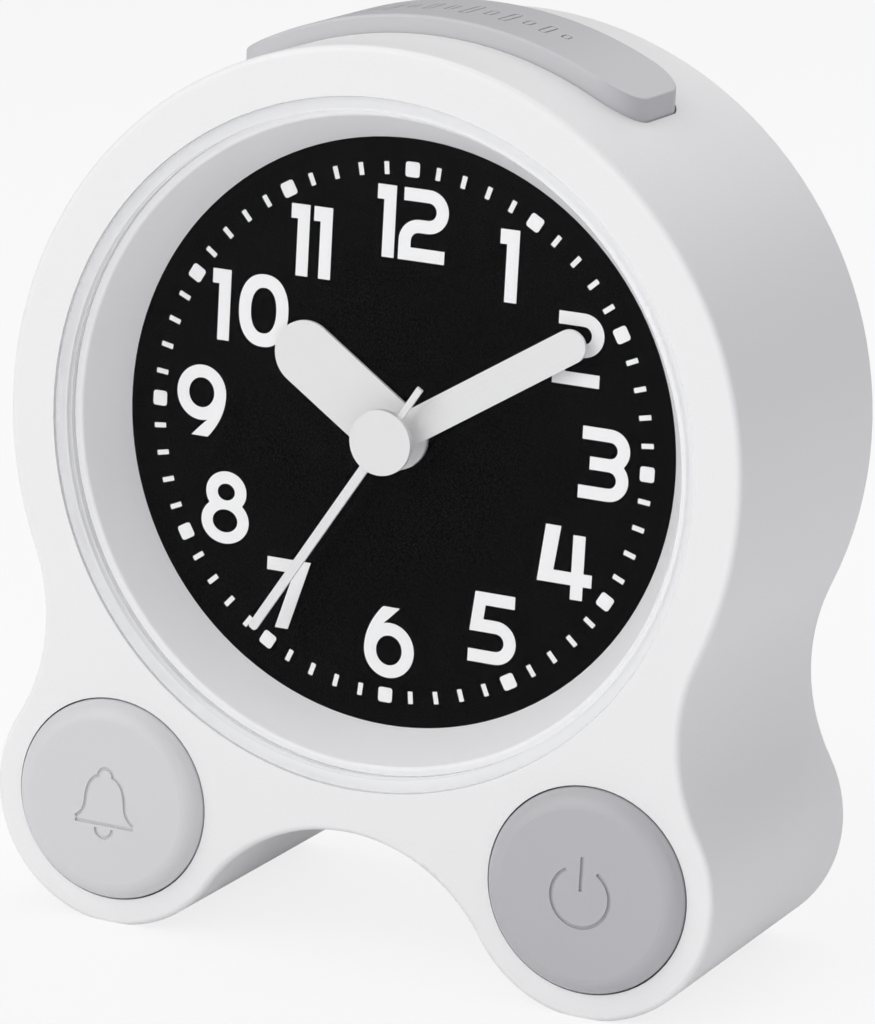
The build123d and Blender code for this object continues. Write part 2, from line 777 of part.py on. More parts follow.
def make_minute_hand():
    """Narrower hand pressed on the minute wheel's pipe."""
    shape = bar_hand(minute_hand_length, minute_hand_width, minute_hub_radius, minute_angle)
    shape -= Circle(minute_pipe_radius + seat_gap)
    return slab(shape, -minute_hand_lift - hand_thickness, -minute_hand_lift)


def make_second_hand():
    """Slim hand with a tail, a round cap in front and a sleeve on the centre arbor."""
    arm = Pos(second_hand_length / 2, 0) * Rectangle(second_hand_length, second_hand_width)
    arm = fillet(arm.vertices().group_by(Axis.X)[-1], second_tip_round)
    tail = Pos(-second_hand_tail / 2, 0) * Rectangle(second_hand_tail, second_tail_width)
    shape = Rot(0, 0, hand_angle(second_angle)) * (arm + tail)
    face_y = -second_hand_lift - hand_thickness
    hand = slab(shape, face_y, -second_hand_lift)
    hand += disc(second_cap_radius, face_y - second_cap_thickness, face_y)
    hand += disc(second_sleeve_radius, face_y, -second_hand_lift + second_sleeve_length)
    bore_front = face_y - second_cap_thickness / 2
    return hand - disc(centre_arbor_radius + seat_gap, bore_front, 0)


# Movement

def module_of(distance, first, second):
    """Tooth size of two wheels that mesh at a distance."""
    return 2 * distance / (first + second)


def gear(teeth, module, front, back, spot=(0, 0), tooth_at=0):
    """Toothed disc with one tooth pointing in a direction from +X."""
    pitch_radius = teeth * module / 2
    tip = pitch_radius + tooth_tip_share * module
    root = pitch_radius - tooth_root_share * module
    step = 360 / teeth
    corners = ((root, -root_half_share), (tip, -tip_half_share),
               (tip, tip_half_share), (root, root_half_share))
    points = []
    for tooth in range(teeth):
        for radius, offset in corners:
            points.append(polar(radius, tooth_at + (tooth + offset) * step))
    return slab(Pos(*spot) * make_face(Polyline(*points, close=True)), front, back)


def heading(start, end):
    """Direction from one spot to another, from +X."""
    return degrees(atan2(end[1] - start[1], end[0] - start[0]))


def gap_facing(spot, other, teeth):
    """Direction of a tooth, so that a gap between teeth faces the other spot."""
    return heading(spot, other) + 180 / teeth


centre = (0, 0)
transfer_spot = polar(transfer_distance, transfer_turn)
minute_drive_spot = (-motor_x * drive_share, -motor_drop)
second_drive_spot = (motor_x * drive_share, -motor_drop)
minute_rotor_spot = (-motor_x, -motor_drop)
second_rotor_spot = (motor_x, -motor_drop)
motion_module = module_of(transfer_distance, minute_pinion_teeth, transfer_wheel_teeth)
hour_module = module_of(transfer_distance, transfer_pinion_teeth, hour_wheel_teeth)
drive_module = module_of(drive_distance, drive_wheel_teeth, drive_pinion_teeth)
step_module = module_of(step_distance, step_wheel_teeth, step_pinion_teeth)


def make_hour_wheel():
    """Wheel with the outer pipe that carries the hour hand."""
    back = hour_layer_y + wheel_thickness
    wheel = gear(hour_wheel_teeth, hour_module, hour_layer_y, back, centre,
                 gap_facing(centre, transfer_spot, hour_wheel_teeth))
    wheel += disc(hour_pipe_radius, -hour_hand_lift - hand_thickness, back)
    return wheel - disc(minute_pipe_radius + run_gap, -minute_hand_lift, back + cut_over)


def make_minute_wheel():
    """Centre wheel with the motion pinion and the pipe that carries the minute hand."""
    back = minute_layer_y + wheel_thickness
    wheel = gear(drive_wheel_teeth, drive_module, minute_layer_y, back, centre,
                 heading(centre, minute_drive_spot))
    wheel += gear(minute_pinion_teeth, motion_module, transfer_layer_y, minute_layer_y, centre,
                  heading(centre, transfer_spot))
    wheel += disc(minute_pipe_radius, -minute_hand_lift - hand_thickness, back)
    return wheel - disc(centre_arbor_radius + run_gap, -second_hand_lift, back + cut_over)


def make_transfer_wheel():
    """Wheel and pinion that turn the hour wheel once for twelve turns of the minute wheel."""
    back = transfer_layer_y + wheel_thickness
    wheel = gear(transfer_wheel_teeth, motion_module, transfer_layer_y, back, transfer_spot,
                 gap_facing(transfer_spot, centre, transfer_wheel_teeth))
    wheel += gear(transfer_pinion_teeth, hour_module, hour_layer_y, transfer_layer_y,
                  transfer_spot, heading(transfer_spot, centre))
    return wheel + arbor(transfer_spot, front_bearing_y, midplate_front_bearing_y)


def arbor(spot, front, back):
    """Plain arbor that stops just short of the ends of its bearings."""
    return disc(arbor_radius, front + run_gap, back - run_gap, spot)


def drive_wheel(spot, rotor_spot, layer, front, back):
    """Wheel pair between a motor's pinion and the centre."""
    pinion_front = layer - run_gap
    pinion_back = layer + layer_pitch
    wheel = gear(drive_pinion_teeth, drive_module, pinion_front, pinion_back, spot,
                 gap_facing(spot, centre, drive_pinion_teeth))
    wheel += gear(step_wheel_teeth, step_module, pinion_back, pinion_back + wheel_thickness,
                  spot, heading(spot, rotor_spot))
    return wheel + arbor(spot, front, back)


def rotor(spot, wheel_spot, layer, magnet, front, back):
    """Magnet of a stepping motor with its pinion and arbor."""
    piece = gear(step_pinion_teeth, step_module, layer - run_gap,
                 layer + wheel_thickness + run_gap, spot,
                 gap_facing(spot, wheel_spot, step_pinion_teeth))
    piece += disc(rotor_radius, magnet, magnet + rotor_length, spot)
    return piece + arbor(spot, front, back)


def make_second_wheel():
    """Wheel on the long centre arbor that carries the second hand."""
    wheel = gear(drive_wheel_teeth, drive_module, second_layer_y,
                 second_layer_y + wheel_thickness, centre, heading(centre, second_drive_spot))
    front = -second_hand_lift - hand_thickness - second_cap_thickness / 2 + run_gap
    return wheel + disc(centre_arbor_radius, front, rear_bearing_y - run_gap)


def stator(spot, front):
    """Flat iron loop of a motor: a head round the rotor, two legs and the coil's core."""
    x, z = spot
    top = z + stator_head
    bottom = z - stator_drop - stator_core / 2
    outer = Pos(x, (top + bottom) / 2) * Rectangle(2 * stator_half_width, top - bottom)
    window_top = z - stator_head
    window_bottom = z - stator_drop + stator_core / 2
    window = Pos(x, (window_top + window_bottom) / 2) * Rectangle(
        2 * (stator_half_width - stator_leg), window_top - window_bottom)
    shape = outer - window - Pos(x, z) * Circle(rotor_radius + stator_gap)
    for peg in stator_pegs(spot):
        shape -= Pos(*peg) * Circle(stator_peg_radius / 2 + seat_gap)
    return slab(shape, front, front + stator_thickness)


def stator_pegs(spot):
    """Two spots at the upper corners where pegs of the case hold a stator."""
    x, z = spot
    offset = stator_half_width - stator_leg / 2
    return [(x + side * offset, z + stator_head - stator_leg / 2) for side in (-1, 1)]


def coil(spot, front):
    """Winding round the core of a stator."""
    x, z = spot
    middle = front + stator_thickness / 2
    height = z - stator_drop
    winding = block(coil_length, coil_height, middle - coil_depth / 2, middle + coil_depth / 2,
                    (x, height))
    winding = fillet(winding.edges().filter_by(Axis.X), stator_core / 3)
    core = block(coil_length + cut_over, stator_core + 2 * seat_gap, front - seat_gap,
                 front + stator_thickness + seat_gap, (x, height))
    return winding - core


minute_stator_y = minute_magnet_y + (rotor_length - stator_thickness) / 2
second_stator_y = second_magnet_y + (rotor_length - stator_thickness) / 2


def case_shell(front, back, inner_front, inner_back):
    """Open box of the movement with rounded corners."""
    outer = RectangleRounded(case_size, case_size, case_corner_radius)
    inner_size = case_size - 2 * case_wall
    inner = RectangleRounded(inner_size, inner_size, case_corner_radius - case_wall)
    return slab(outer, front, back) - slab(inner, inner_front, inner_back)


def bearing(spot, front, back, radius=arbor_radius):
    """Cut for an arbor's bearing."""
    return disc(radius + run_gap, front, back, spot)


def make_movement_front_case():
    """Front half: floor with bearings, bush for the pipes, posts, pegs and fixing lugs."""
    case = case_shell(case_front_y, case_split_y, case_inner_y, case_split_y + cut_over)
    case += disc(bush_radius, -bush_lift, case_inner_y)
    for spot in post_spots:
        case += disc(case_post_radius, case_front_y, midplate_y, spot)
    for spot in stator_pegs(minute_rotor_spot):
        case += disc(stator_peg_radius, case_front_y, minute_stator_y, spot)
        case += disc(stator_peg_radius / 2, minute_stator_y,
                     minute_stator_y + stator_thickness, spot)
    lug_front = case_front_y + lug_rise
    for spot in lug_spots:
        side = 1 if spot[0] > 0 else -1
        lug_centre = (side * (case_size / 2 - case_wall + lug_length / 2), 0)
        lug = block(lug_length, 2 * lug_half_width, lug_front, lug_front + lug_thickness,
                    lug_centre)
        case += lug
        case -= disc(lug_screw_radius + fit_gap, lug_front - cut_over,
                     lug_front + lug_thickness + cut_over, spot)
    case -= disc(hour_pipe_radius + run_gap, -bush_lift - cut_over, case_inner_y + cut_over)
    for spot in (transfer_spot, minute_drive_spot, minute_rotor_spot):
        case -= bearing(spot, front_bearing_y, case_inner_y + cut_over)
    for spot in post_spots:
        case -= disc(case_screw_radius, case_inner_y, midplate_y + cut_over, spot)
    return case


def make_movement_rear_case():
    """Back half: cover with bearings, posts with sunk screw heads, and pegs."""
    case = case_shell(case_split_y, case_back_y, case_split_y - cut_over, case_cover_y)
    for spot in post_spots:
        case += disc(case_post_radius, midplate_back_y, case_back_y, spot)
    for spot in stator_pegs(second_rotor_spot):
        case += disc(stator_peg_radius, second_stator_y + stator_thickness, case_back_y, spot)
        case += disc(stator_peg_radius / 2, second_stator_y,
                     second_stator_y + stator_thickness, spot)
    for spot in post_spots:
        case -= disc(case_screw_radius + fit_gap, midplate_back_y - cut_over, case_back_y, spot)
        case -= disc(case_screw_head_radius + fit_gap, case_back_y - case_screw_head_height,
                     case_back_y + cut_over, spot)
    for spot in (second_drive_spot, second_rotor_spot):
        case -= bearing(spot, case_cover_y - cut_over, rear_bearing_y)
    return case - bearing(centre, case_cover_y - cut_over, rear_bearing_y, centre_arbor_radius)


def make_movement_midplate():
    """Plate between the two trains, with bearings on both faces."""
    size = case_size - 2 * (case_wall + fit_gap)
    corner = case_corner_radius - case_wall - fit_gap
    plate = slab(RectangleRounded(size, size, corner), midplate_y, midplate_back_y)
    for spot in post_spots:
        plate -= disc(case_screw_radius + fit_gap, midplate_y - cut_over,
                      midplate_back_y + cut_over, spot)
    plate -= bearing(centre, midplate_y - cut_over, midplate_back_y + cut_over,
                     centre_arbor_radius)
    for spot in (transfer_spot, minute_drive_spot, minute_rotor_spot):
        plate -= bearing(spot, midplate_y - cut_over, midplate_front_bearing_y)
    for spot in (second_drive_spot, second_rotor_spot):
        plate -= bearing(spot, midplate_back_bearing_y, midplate_back_y + cut_over)
    return plate


def make_case_screws():
    """Four sunk screws that hold the movement's halves together."""
    screws = []
    for spot in post_spots:
        seat = case_back_y - case_screw_head_height
        screw = disc(case_screw_head_radius, seat, case_back_y, spot)
        screw += disc(case_screw_radius - seat_gap, case_inner_y + fit_gap, seat, spot)
        screws.append(screw)
    return Compound(screws)


def make_movement_screws():
    """Two screws through the movement's lugs into the dial plate."""
    screws = []
    for spot in lug_spots:
        seat = case_front_y + lug_rise + lug_thickness
        screw = disc(lug_screw_head_radius, seat, seat + lug_screw_head_height, spot)
        screw += disc(lug_screw_radius - seat_gap, plate_back_y, seat, spot)
        screws.append(screw)
    return Compound(screws)


# Controls

def front_button(spot):
    """Hollow cap with a bulging shoulder, a flange behind the housing's face and a stem."""
    face_y = front_y - button_proud
    flange_front = inner_front_y + fit_gap / 2
    flange_back = flange_front + button_flange_thickness
    skirt_back = flange_back + button_skirt_depth
    inner = button_radius - button_wall
    flange = button_radius + button_flange_reach
    shoulder_x = button_face_radius + (button_radius - button_face_radius) * button_shoulder_share
    shoulder_y = face_y + button_proud * (1 - button_shoulder_share)
    profile = [
        Line((0, face_y), (button_face_radius, face_y)),
        ThreePointArc((button_face_radius, face_y), (shoulder_x, shoulder_y),
                      (button_radius, front_y)),
        Polyline((button_radius, front_y), (button_radius, flange_front),
                 (flange, flange_front), (flange, flange_back), (button_radius, flange_back),
                 (button_radius, skirt_back), (inner, skirt_back), (inner, button_cup_y),
                 (button_stem_radius, button_cup_y), (button_stem_radius, button_plunger_y),
                 (0, button_plunger_y), (0, face_y)),
    ]
    cap = revolve(make_face(profile), Axis.Y)
    return Pos(spot[0], 0, spot[1]) * cap


def front_plunger(spot):
    """Moving pin of the switch behind a front button."""
    back = button_board_depth - switch_height + plunger_depth
    return disc(plunger_radius, button_plunger_y, back, spot)


def make_talk_bar():
    """Curved bar: solid rim and top, hollow inside, a flange that keeps it in and a stem."""
    crown = head_radius + bar_proud
    flange_top = head_inner_radius - fit_gap
    flange_bottom = flange_top - bar_flange_thickness
    bar = bar_layer(0, flange_bottom, crown)
    bar = fillet(bar.faces().filter_by(GeomType.CYLINDER).sort_by(Axis.Z)[-1].edges(),
                 bar_edge_round)
    bar += bar_layer(bar_flange_reach, flange_bottom, flange_top)
    bar -= bar_layer(-bar_wall, flange_bottom - cut_over, crown - bar_wall)
    stem_top = crown - bar_wall / 2
    stem_bottom = bar_switch_height + plunger_proud
    length = stem_top - stem_bottom
    stem = Pos(0, bar_switch_depth, stem_bottom + length / 2)
    return bar + stem * Cylinder(button_stem_radius, length)


def make_talk_plunger():
    """Moving pin of the switch under the bar."""
    length = plunger_proud + plunger_depth
    middle = bar_switch_height + plunger_proud - length / 2
    return Pos(0, bar_switch_depth, middle) * Cylinder(plunger_radius, length)


def make_talk_bar_springs():
    """Two return springs between the plate's shelves and the bar, as plain sleeves."""
    springs = []
    ceiling = head_radius + bar_proud - bar_wall
    for side in (-1, 1):
        outer_x = bar_spring_offset + bar_spring_radius
        top = sqrt(ceiling ** 2 - outer_x ** 2) - fit_gap
        length = top - shelf_top
        sleeve = Cylinder(bar_spring_radius, length)
        sleeve -= Cylinder(bar_spring_radius - bar_spring_wire, length)
        middle = shelf_top + length / 2
        springs.append(Pos(side * bar_spring_offset, bar_spring_depth, middle) * sleeve)
    return Compound(springs)


def switch_can(front, back, spot):
    """Square switch body between two depths, its pin's pocket cut by the caller."""
    return block(switch_width, switch_width, front, back, spot)


def make_tact_switches():
    """All the push switches: two behind the front buttons, one under the bar, four at the back."""
    cans = []
    for spot in feet:
        front = button_board_depth - switch_height
        can = switch_can(front, button_board_depth, spot)
        pocket = disc(plunger_radius + fit_gap, front - cut_over, front + switch_pocket_depth,
                      spot)
        cans.append(can - pocket)
    for spot in set_button_spots:
        back = board_back + switch_height
        can = switch_can(board_back, back, spot)
        cans.append(can - disc(plunger_radius + fit_gap, back - switch_pocket_depth,
                               back + cut_over, spot))
    depth = 2 * (board_front - bar_switch_depth)
    height = bar_switch_height - switch_height / 2
    can = Pos(0, bar_switch_depth, height) * Box(switch_width, depth, switch_height)
    pocket_middle = bar_switch_height - switch_pocket_depth / 2
    pocket = Cylinder(plunger_radius + fit_gap, switch_pocket_depth)
    cans.append(can - Pos(0, bar_switch_depth, pocket_middle) * pocket)
    return Compound(cans)


def make_button_boards():
    """Small round boards that carry the switches behind the front buttons."""
    radius = button_collar_radius + button_board_lap
    return Compound([disc(radius, button_board_depth, button_board_back, spot) for spot in feet])


def set_button(spot):
    """Small cap on the back whose pin reaches into its switch."""
    switch_back = board_back + switch_height
    cap_front = switch_back + set_button_travel + fit_gap
    cap = disc(set_button_radius, cap_front, back_y - set_button_recess, spot)
    pin_front = switch_back - plunger_depth
    return cap + disc(plunger_radius, pin_front, cap_front, spot)


def make_volume_switch():
    """Metal can of the slide switch, with its slot."""
    spot = (0, volume_height)
    back = board_back + volume_switch_depth
    can = block(volume_switch_width, volume_switch_height, board_back, back, spot)
    slot_width = volume_travel + volume_knob_width + 2 * slide_gap
    slot_height = volume_knob_height / 2 + 2 * slide_gap
    return can - block(slot_width, slot_height, back - volume_stem_depth - slide_gap,
                       back + cut_over, spot)


def make_volume_knob():
    """Slider that reaches from the switch out through the cover, shown at its left end."""
    switch_back = board_back + volume_switch_depth
    spot = (-volume_travel / 2, volume_height)
    knob = block(volume_knob_width, volume_knob_height, switch_back + fit_gap,
                 back_y - set_button_recess, spot)
    return knob + block(volume_knob_width, volume_knob_height / 2,
                        switch_back - volume_stem_depth, switch_back + fit_gap, spot)


# Electronics

def make_circuit_board():
    """Main board, cut to the round of the head, with its fixing holes."""
    height = board_top - board_bottom
    shape = Pos(0, board_bottom + height / 2) * Rectangle(2 * board_half_width, height)
    shape &= Circle(board_radius)
    for spot in boss_spots:
        shape -= Pos(*spot) * Circle(boss_radius + board_notch_gap)
    for spot in board_post_spots:
        shape -= Pos(*spot) * Circle(board_screw_radius + fit_gap)
    return slab(shape, board_front, board_back)


def make_board_screws():
    """Four screws from the board's front into the cover's posts."""
    screws = []
    for spot in board_post_spots:
        screw = disc(board_screw_head_radius, board_front - board_screw_head_height,
                     board_front, spot)
        tip = board_back + pilot_depth - fit_gap
        screws.append(screw + disc(board_screw_radius - seat_gap, board_front, tip, spot))
    return Compound(screws)


def make_speech_chip():
    """Chip that holds the spoken words, with two rows of pins."""
    clear = chip_pin_width
    chip = block(chip_width, chip_height, board_back + clear, board_back + chip_thickness,
                 chip_spot)
    pitch = chip_width / chip_pin_count
    for number in range(chip_pin_count):
        x = chip_spot[0] + (number - (chip_pin_count - 1) / 2) * pitch
        chip += block(chip_pin_width, chip_height + 2 * chip_pin_reach, board_back,
                      board_back + clear + seat_gap, (x, chip_spot[1]))
    return chip


def make_quartz_crystal():
    """Crystal can lying on the board."""
    return lying_bar(crystal_radius, crystal_length, board_back + crystal_radius,
                     crystal_spot[1], crystal_spot[0])


def make_capacitors():
    """Two cans standing on the board."""
    back = board_back + capacitor_length
    return Compound([disc(capacitor_radius, board_back, back, spot) for spot in capacitor_spots])


def make_ferrite_rod():
    """Aerial rod that lies in the dial plate's saddles."""
    return lying_bar(aerial_radius, aerial_length, aerial_depth, aerial_height)


def make_antenna_coil():
    """Winding round the middle of the aerial rod."""
    coil_radius = aerial_radius + aerial_coil_wall
    winding = lying_bar(coil_radius, aerial_coil_length, aerial_depth, aerial_height)
    bore = lying_bar(aerial_radius + seat_gap, aerial_coil_length + cut_over, aerial_depth,
                     aerial_height)
    return winding - bore


# Speaker

speaker_front_y = cover_y - speaker_depth


def at_speaker(piece):
    """Move a piece turned about the dial's axis to the speaker's axis."""
    return Pos(0, 0, speaker_height) * piece


def make_speaker_frame():
    """Steel basket with a rim against the cover and a throat for the magnet."""
    rim_y = cover_y - speaker_rim
    return at_speaker(turned(
        (cone_radius, cover_y), (speaker_radius, cover_y), (speaker_radius, rim_y),
        (speaker_throat_radius, speaker_front_y), (cone_inner_radius, speaker_front_y),
        (cone_inner_radius, speaker_front_y + speaker_wall),
        (speaker_throat_radius - speaker_wall, speaker_front_y + speaker_wall),
        (cone_radius, rim_y)))


def make_speaker_magnet():
    """Magnet behind the basket with its centre pole."""
    pole_back = speaker_front_y + speaker_wall
    piece = disc(magnet_radius, speaker_front_y - magnet_length, speaker_front_y)
    return at_speaker(piece + disc(cone_inner_radius - fit_gap, speaker_front_y, pole_back))


def make_speaker_cone():
    """Paper cone with its dome, seated in the basket's rim."""
    edge_y = cover_y - speaker_rim / 2
    deep_y = edge_y - cone_drop
    edge = cone_radius - seat_gap
    return at_speaker(turned(
        (0, deep_y + cone_inner_radius / 2), (cone_inner_radius, deep_y), (edge, edge_y),
        (edge, edge_y + cone_thickness), (cone_inner_radius, deep_y + cone_thickness),
        (0, deep_y + cone_thickness + cone_inner_radius / 2)))


# Cells and their contacts


def make_battery_cells():
    """Two cells that lie side by side and point opposite ways."""
    cells = []
    for side, height in zip((1, -1), cell_rows):
        shoulder = nub_x - cell_nub_length
        body = lying_bar(cell_radius, cell_length, cell_y, height,
                         side * (shoulder - cell_length / 2))
        nub = lying_bar(cell_nub_radius, cell_nub_length, cell_y, height,
                        side * (shoulder + cell_nub_length / 2))
        cells.append(body + nub)
    return Compound(cells)


def make_battery_contacts():
    """Plates at the bay's ends: one bridge at the left, two single plates at the right."""
    middle = bay_half_width - contact_thickness / 2
    depth_length = 2 * cell_radius
    plates = []
    for height in cell_rows:
        plate = Pos(middle, cell_y, height) * Box(contact_thickness, depth_length, contact_width)
        plates.append(plate)
    bridge_height = contact_width + cell_rows[0] - cell_rows[1]
    bridge = Pos(-middle, cell_y, bay_centre) * Box(contact_thickness, depth_length,
                                                   bridge_height)
    dimple_x = bay_half_width - contact_thickness - contact_dimple / 2
    plates[0] += lying_bar(cell_nub_radius, contact_dimple, cell_y, cell_rows[0], dimple_x)
    bridge += lying_bar(cell_nub_radius, contact_dimple, cell_y, cell_rows[1], -dimple_x)
    return Compound([*plates, bridge])


def make_battery_springs():
    """Two cone springs behind the flat ends of the cells, as plain sleeves."""
    springs = []
    flat_end = nub_x - cell_nub_length - cell_length
    plate_x = bay_half_width - contact_thickness
    length = plate_x + flat_end
    for side, height in zip((-1, 1), cell_rows):
        outer = Cone(spring_large_radius, spring_small_radius, length)
        inner = Cone(spring_large_radius - spring_wire, spring_small_radius - spring_wire,
                     length)
        middle = side * (plate_x - length / 2)
        springs.append(Pos(middle, cell_y, height) * Rot(0, -side * 90, 0) * (outer - inner))
    return Compound(springs)


# Every node of the clock

pieces = {
    "front_housing": make_front_housing,
    "rear_cover": make_rear_cover,
    "battery_door": make_battery_door,
    "cover_screws": make_cover_screws,
    "lens": make_lens,
    "reflector_ring": make_reflector_ring,
    "dial": make_dial,
    "dial_plate": make_dial_plate,
    "dial_plate_screws": make_dial_plate_screws,
    "hour_hand": make_hour_hand,
    "minute_hand": make_minute_hand,
    "second_hand": make_second_hand,
    "movement_front_case": make_movement_front_case,
    "movement_rear_case": make_movement_rear_case,
    "movement_midplate": make_movement_midplate,
    "movement_screws": make_movement_screws,
    "case_screws": make_case_screws,
    "hour_wheel": make_hour_wheel,
    "minute_wheel": make_minute_wheel,
    "transfer_wheel": make_transfer_wheel,
    "minute_drive_wheel": lambda: drive_wheel(minute_drive_spot, minute_rotor_spot,
                                              minute_layer_y, front_bearing_y,
                                              midplate_front_bearing_y),
    "minute_rotor": lambda: rotor(minute_rotor_spot, minute_drive_spot, minute_step_layer_y,
                                  minute_magnet_y, front_bearing_y, midplate_front_bearing_y),
    "second_wheel": make_second_wheel,
    "second_drive_wheel": lambda: drive_wheel(second_drive_spot, second_rotor_spot,
                                              second_layer_y, midplate_back_bearing_y,
                                              rear_bearing_y),
    "second_rotor": lambda: rotor(second_rotor_spot, second_drive_spot, second_step_layer_y,
                                  second_magnet_y, midplate_back_bearing_y, rear_bearing_y),
    "minute_stator": lambda: stator(minute_rotor_spot, minute_stator_y),
    "second_stator": lambda: stator(second_rotor_spot, second_stator_y),
    "minute_coil": lambda: coil(minute_rotor_spot, minute_stator_y),
    "second_coil": lambda: coil(second_rotor_spot, second_stator_y),
    "circuit_board": make_circuit_board,
    "board_screws": make_board_screws,
    "speech_chip": make_speech_chip,
    "quartz_crystal": make_quartz_crystal,
    "capacitors": make_capacitors,
    "ferrite_rod": make_ferrite_rod,
    "antenna_coil": make_antenna_coil,
    "tact_switches": make_tact_switches,
    "button_boards": make_button_boards,
    "speaker_frame": make_speaker_frame,
    "speaker_magnet": make_speaker_magnet,
    "speaker_cone": make_speaker_cone,
    "alarm_button": lambda: front_button(feet[0]),
    "alarm_plunger": lambda: front_plunger(feet[0]),
    "on_off_button": lambda: front_button(feet[1]),
    "on_off_plunger": lambda: front_plunger(feet[1]),
    "talk_bar": make_talk_bar,
    "talk_plunger": make_talk_plunger,
    "talk_bar_springs": make_talk_bar_springs,
    "hour_set_button": lambda: set_button(set_button_spots[0]),
    "minute_set_button": lambda: set_button(set_button_spots[1]),
    "alarm_set_button": lambda: set_button(set_button_spots[2]),
    "voice_set_button": lambda: set_button(set_button_spots[3]),
    "volume_knob": make_volume_knob,
    "volume_switch": make_volume_switch,
    "battery_cells": make_battery_cells,
    "battery_springs": make_battery_springs,
    "battery_contacts": make_battery_contacts,
}

os.makedirs("parts", exist_ok=True)
for name, make in pieces.items():
    export_step(Pos(0, dial_y, dial_z) * make(), f"parts/{name}.step")
print("dial centre", round(dial_y, 3), round(dial_z, 3), "head radius", round(head_radius, 3))
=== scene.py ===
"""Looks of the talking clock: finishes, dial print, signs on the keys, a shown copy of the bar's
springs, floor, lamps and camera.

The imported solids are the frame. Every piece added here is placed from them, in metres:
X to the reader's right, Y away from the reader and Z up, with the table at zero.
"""
import json
from math import atan2, copysign, cos, hypot, pi, radians, sin

import bmesh
import bpy
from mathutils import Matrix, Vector
from mathutils.bvhtree import BVHTree
from mathutils.geometry import tessellate_polygon
from mathutils.interpolate import poly_3d_calc

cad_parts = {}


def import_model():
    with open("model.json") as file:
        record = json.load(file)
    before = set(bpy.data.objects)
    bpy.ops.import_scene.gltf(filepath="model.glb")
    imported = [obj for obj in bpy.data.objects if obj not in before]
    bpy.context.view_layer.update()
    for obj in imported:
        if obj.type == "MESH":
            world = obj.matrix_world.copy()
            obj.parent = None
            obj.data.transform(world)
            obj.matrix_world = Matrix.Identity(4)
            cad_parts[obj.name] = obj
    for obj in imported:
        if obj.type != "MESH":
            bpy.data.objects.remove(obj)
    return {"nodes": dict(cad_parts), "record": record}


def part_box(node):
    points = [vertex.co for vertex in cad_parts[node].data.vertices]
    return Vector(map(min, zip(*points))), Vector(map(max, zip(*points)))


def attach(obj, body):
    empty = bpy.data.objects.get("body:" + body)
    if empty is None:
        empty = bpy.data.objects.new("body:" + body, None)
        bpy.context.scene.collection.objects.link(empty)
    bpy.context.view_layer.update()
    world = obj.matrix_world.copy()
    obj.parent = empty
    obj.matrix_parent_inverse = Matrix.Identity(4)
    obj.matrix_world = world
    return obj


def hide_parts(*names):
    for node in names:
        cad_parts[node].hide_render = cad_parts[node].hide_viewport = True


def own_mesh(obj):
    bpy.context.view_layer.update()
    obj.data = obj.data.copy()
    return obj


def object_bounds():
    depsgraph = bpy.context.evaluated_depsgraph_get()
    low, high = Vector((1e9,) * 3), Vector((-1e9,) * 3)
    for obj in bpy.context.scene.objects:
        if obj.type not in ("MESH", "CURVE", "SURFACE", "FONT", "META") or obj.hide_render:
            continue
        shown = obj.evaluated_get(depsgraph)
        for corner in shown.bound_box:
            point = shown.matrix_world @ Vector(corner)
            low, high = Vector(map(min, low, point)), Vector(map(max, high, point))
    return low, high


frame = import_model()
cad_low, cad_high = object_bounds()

mm = 0.001
scene = bpy.context.scene
scene.view_settings.view_transform = "Standard"


# Places read from the frame

def middle(node):
    """Centre of a node's box."""
    low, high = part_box(node)
    return (low + high) / 2


dial_low, dial_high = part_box("dial")     # the printed face is at the low Y
dial_centre = Vector(((dial_low.x + dial_high.x) / 2, dial_low.y, (dial_low.z + dial_high.z) / 2))


# Materials

def material(name, colour, roughness, **sockets):
    """Principled material with its constant sockets set, and its nodes."""
    made = bpy.data.materials.new(name)
    made.use_nodes = True
    shader = made.node_tree.nodes["Principled BSDF"]
    shader.inputs["Base Color"].default_value = (*colour, 1)
    shader.inputs["Roughness"].default_value = roughness
    for socket, value in sockets.items():
        shader.inputs[socket.replace("_", " ")].default_value = value
    return made, made.node_tree, shader


def noise(tree, size, detail=2.0, stretch=(1, 1, 1)):
    """Noise in object space with features of a size in metres."""
    nodes, links = tree.nodes, tree.links
    place = nodes.new("ShaderNodeTexCoord")
    scale = nodes.new("ShaderNodeMapping")
    scale.inputs["Scale"].default_value = [s / size for s in stretch]
    made = nodes.new("ShaderNodeTexNoise")
    made.inputs["Scale"].default_value = 1
    made.inputs["Detail"].default_value = detail
    links.new(place.outputs["Object"], scale.inputs["Vector"])
    links.new(scale.outputs["Vector"], made.inputs["Vector"])
    return made.outputs["Fac"]


def feed(tree, socket, value):
    """Set a socket to a plain value, or link another socket to it."""
    if isinstance(value, bpy.types.NodeSocket):
        tree.links.new(value, socket)
    else:
        socket.default_value = value


def calculated(tree, operation, *values):
    """Result of a math node on sockets and numbers."""
    node = tree.nodes.new("ShaderNodeMath")
    node.operation = operation
    for socket, value in zip(node.inputs, values):
        feed(tree, socket, value)
    return node.outputs["Value"]


def mapped(tree, factor, start, end, low, high):
    """Value that goes from low to high while a factor goes from start to end."""
    node = tree.nodes.new("ShaderNodeMapRange")
    for name, value in (("Value", factor), ("From Min", start), ("From Max", end),
                        ("To Min", low), ("To Max", high)):
        feed(tree, node.inputs[name], value)
    return node.outputs["Result"]


def blended(tree, share, first, second):
    """Colour between two. It is the second one where the share is 1."""
    node = tree.nodes.new("ShaderNodeMix")
    node.data_type = "RGBA"
    for name, value in (("Factor", share), ("A", first), ("B", second)):
        feed(tree, node.inputs[name], value)
    return node.outputs["Result"]


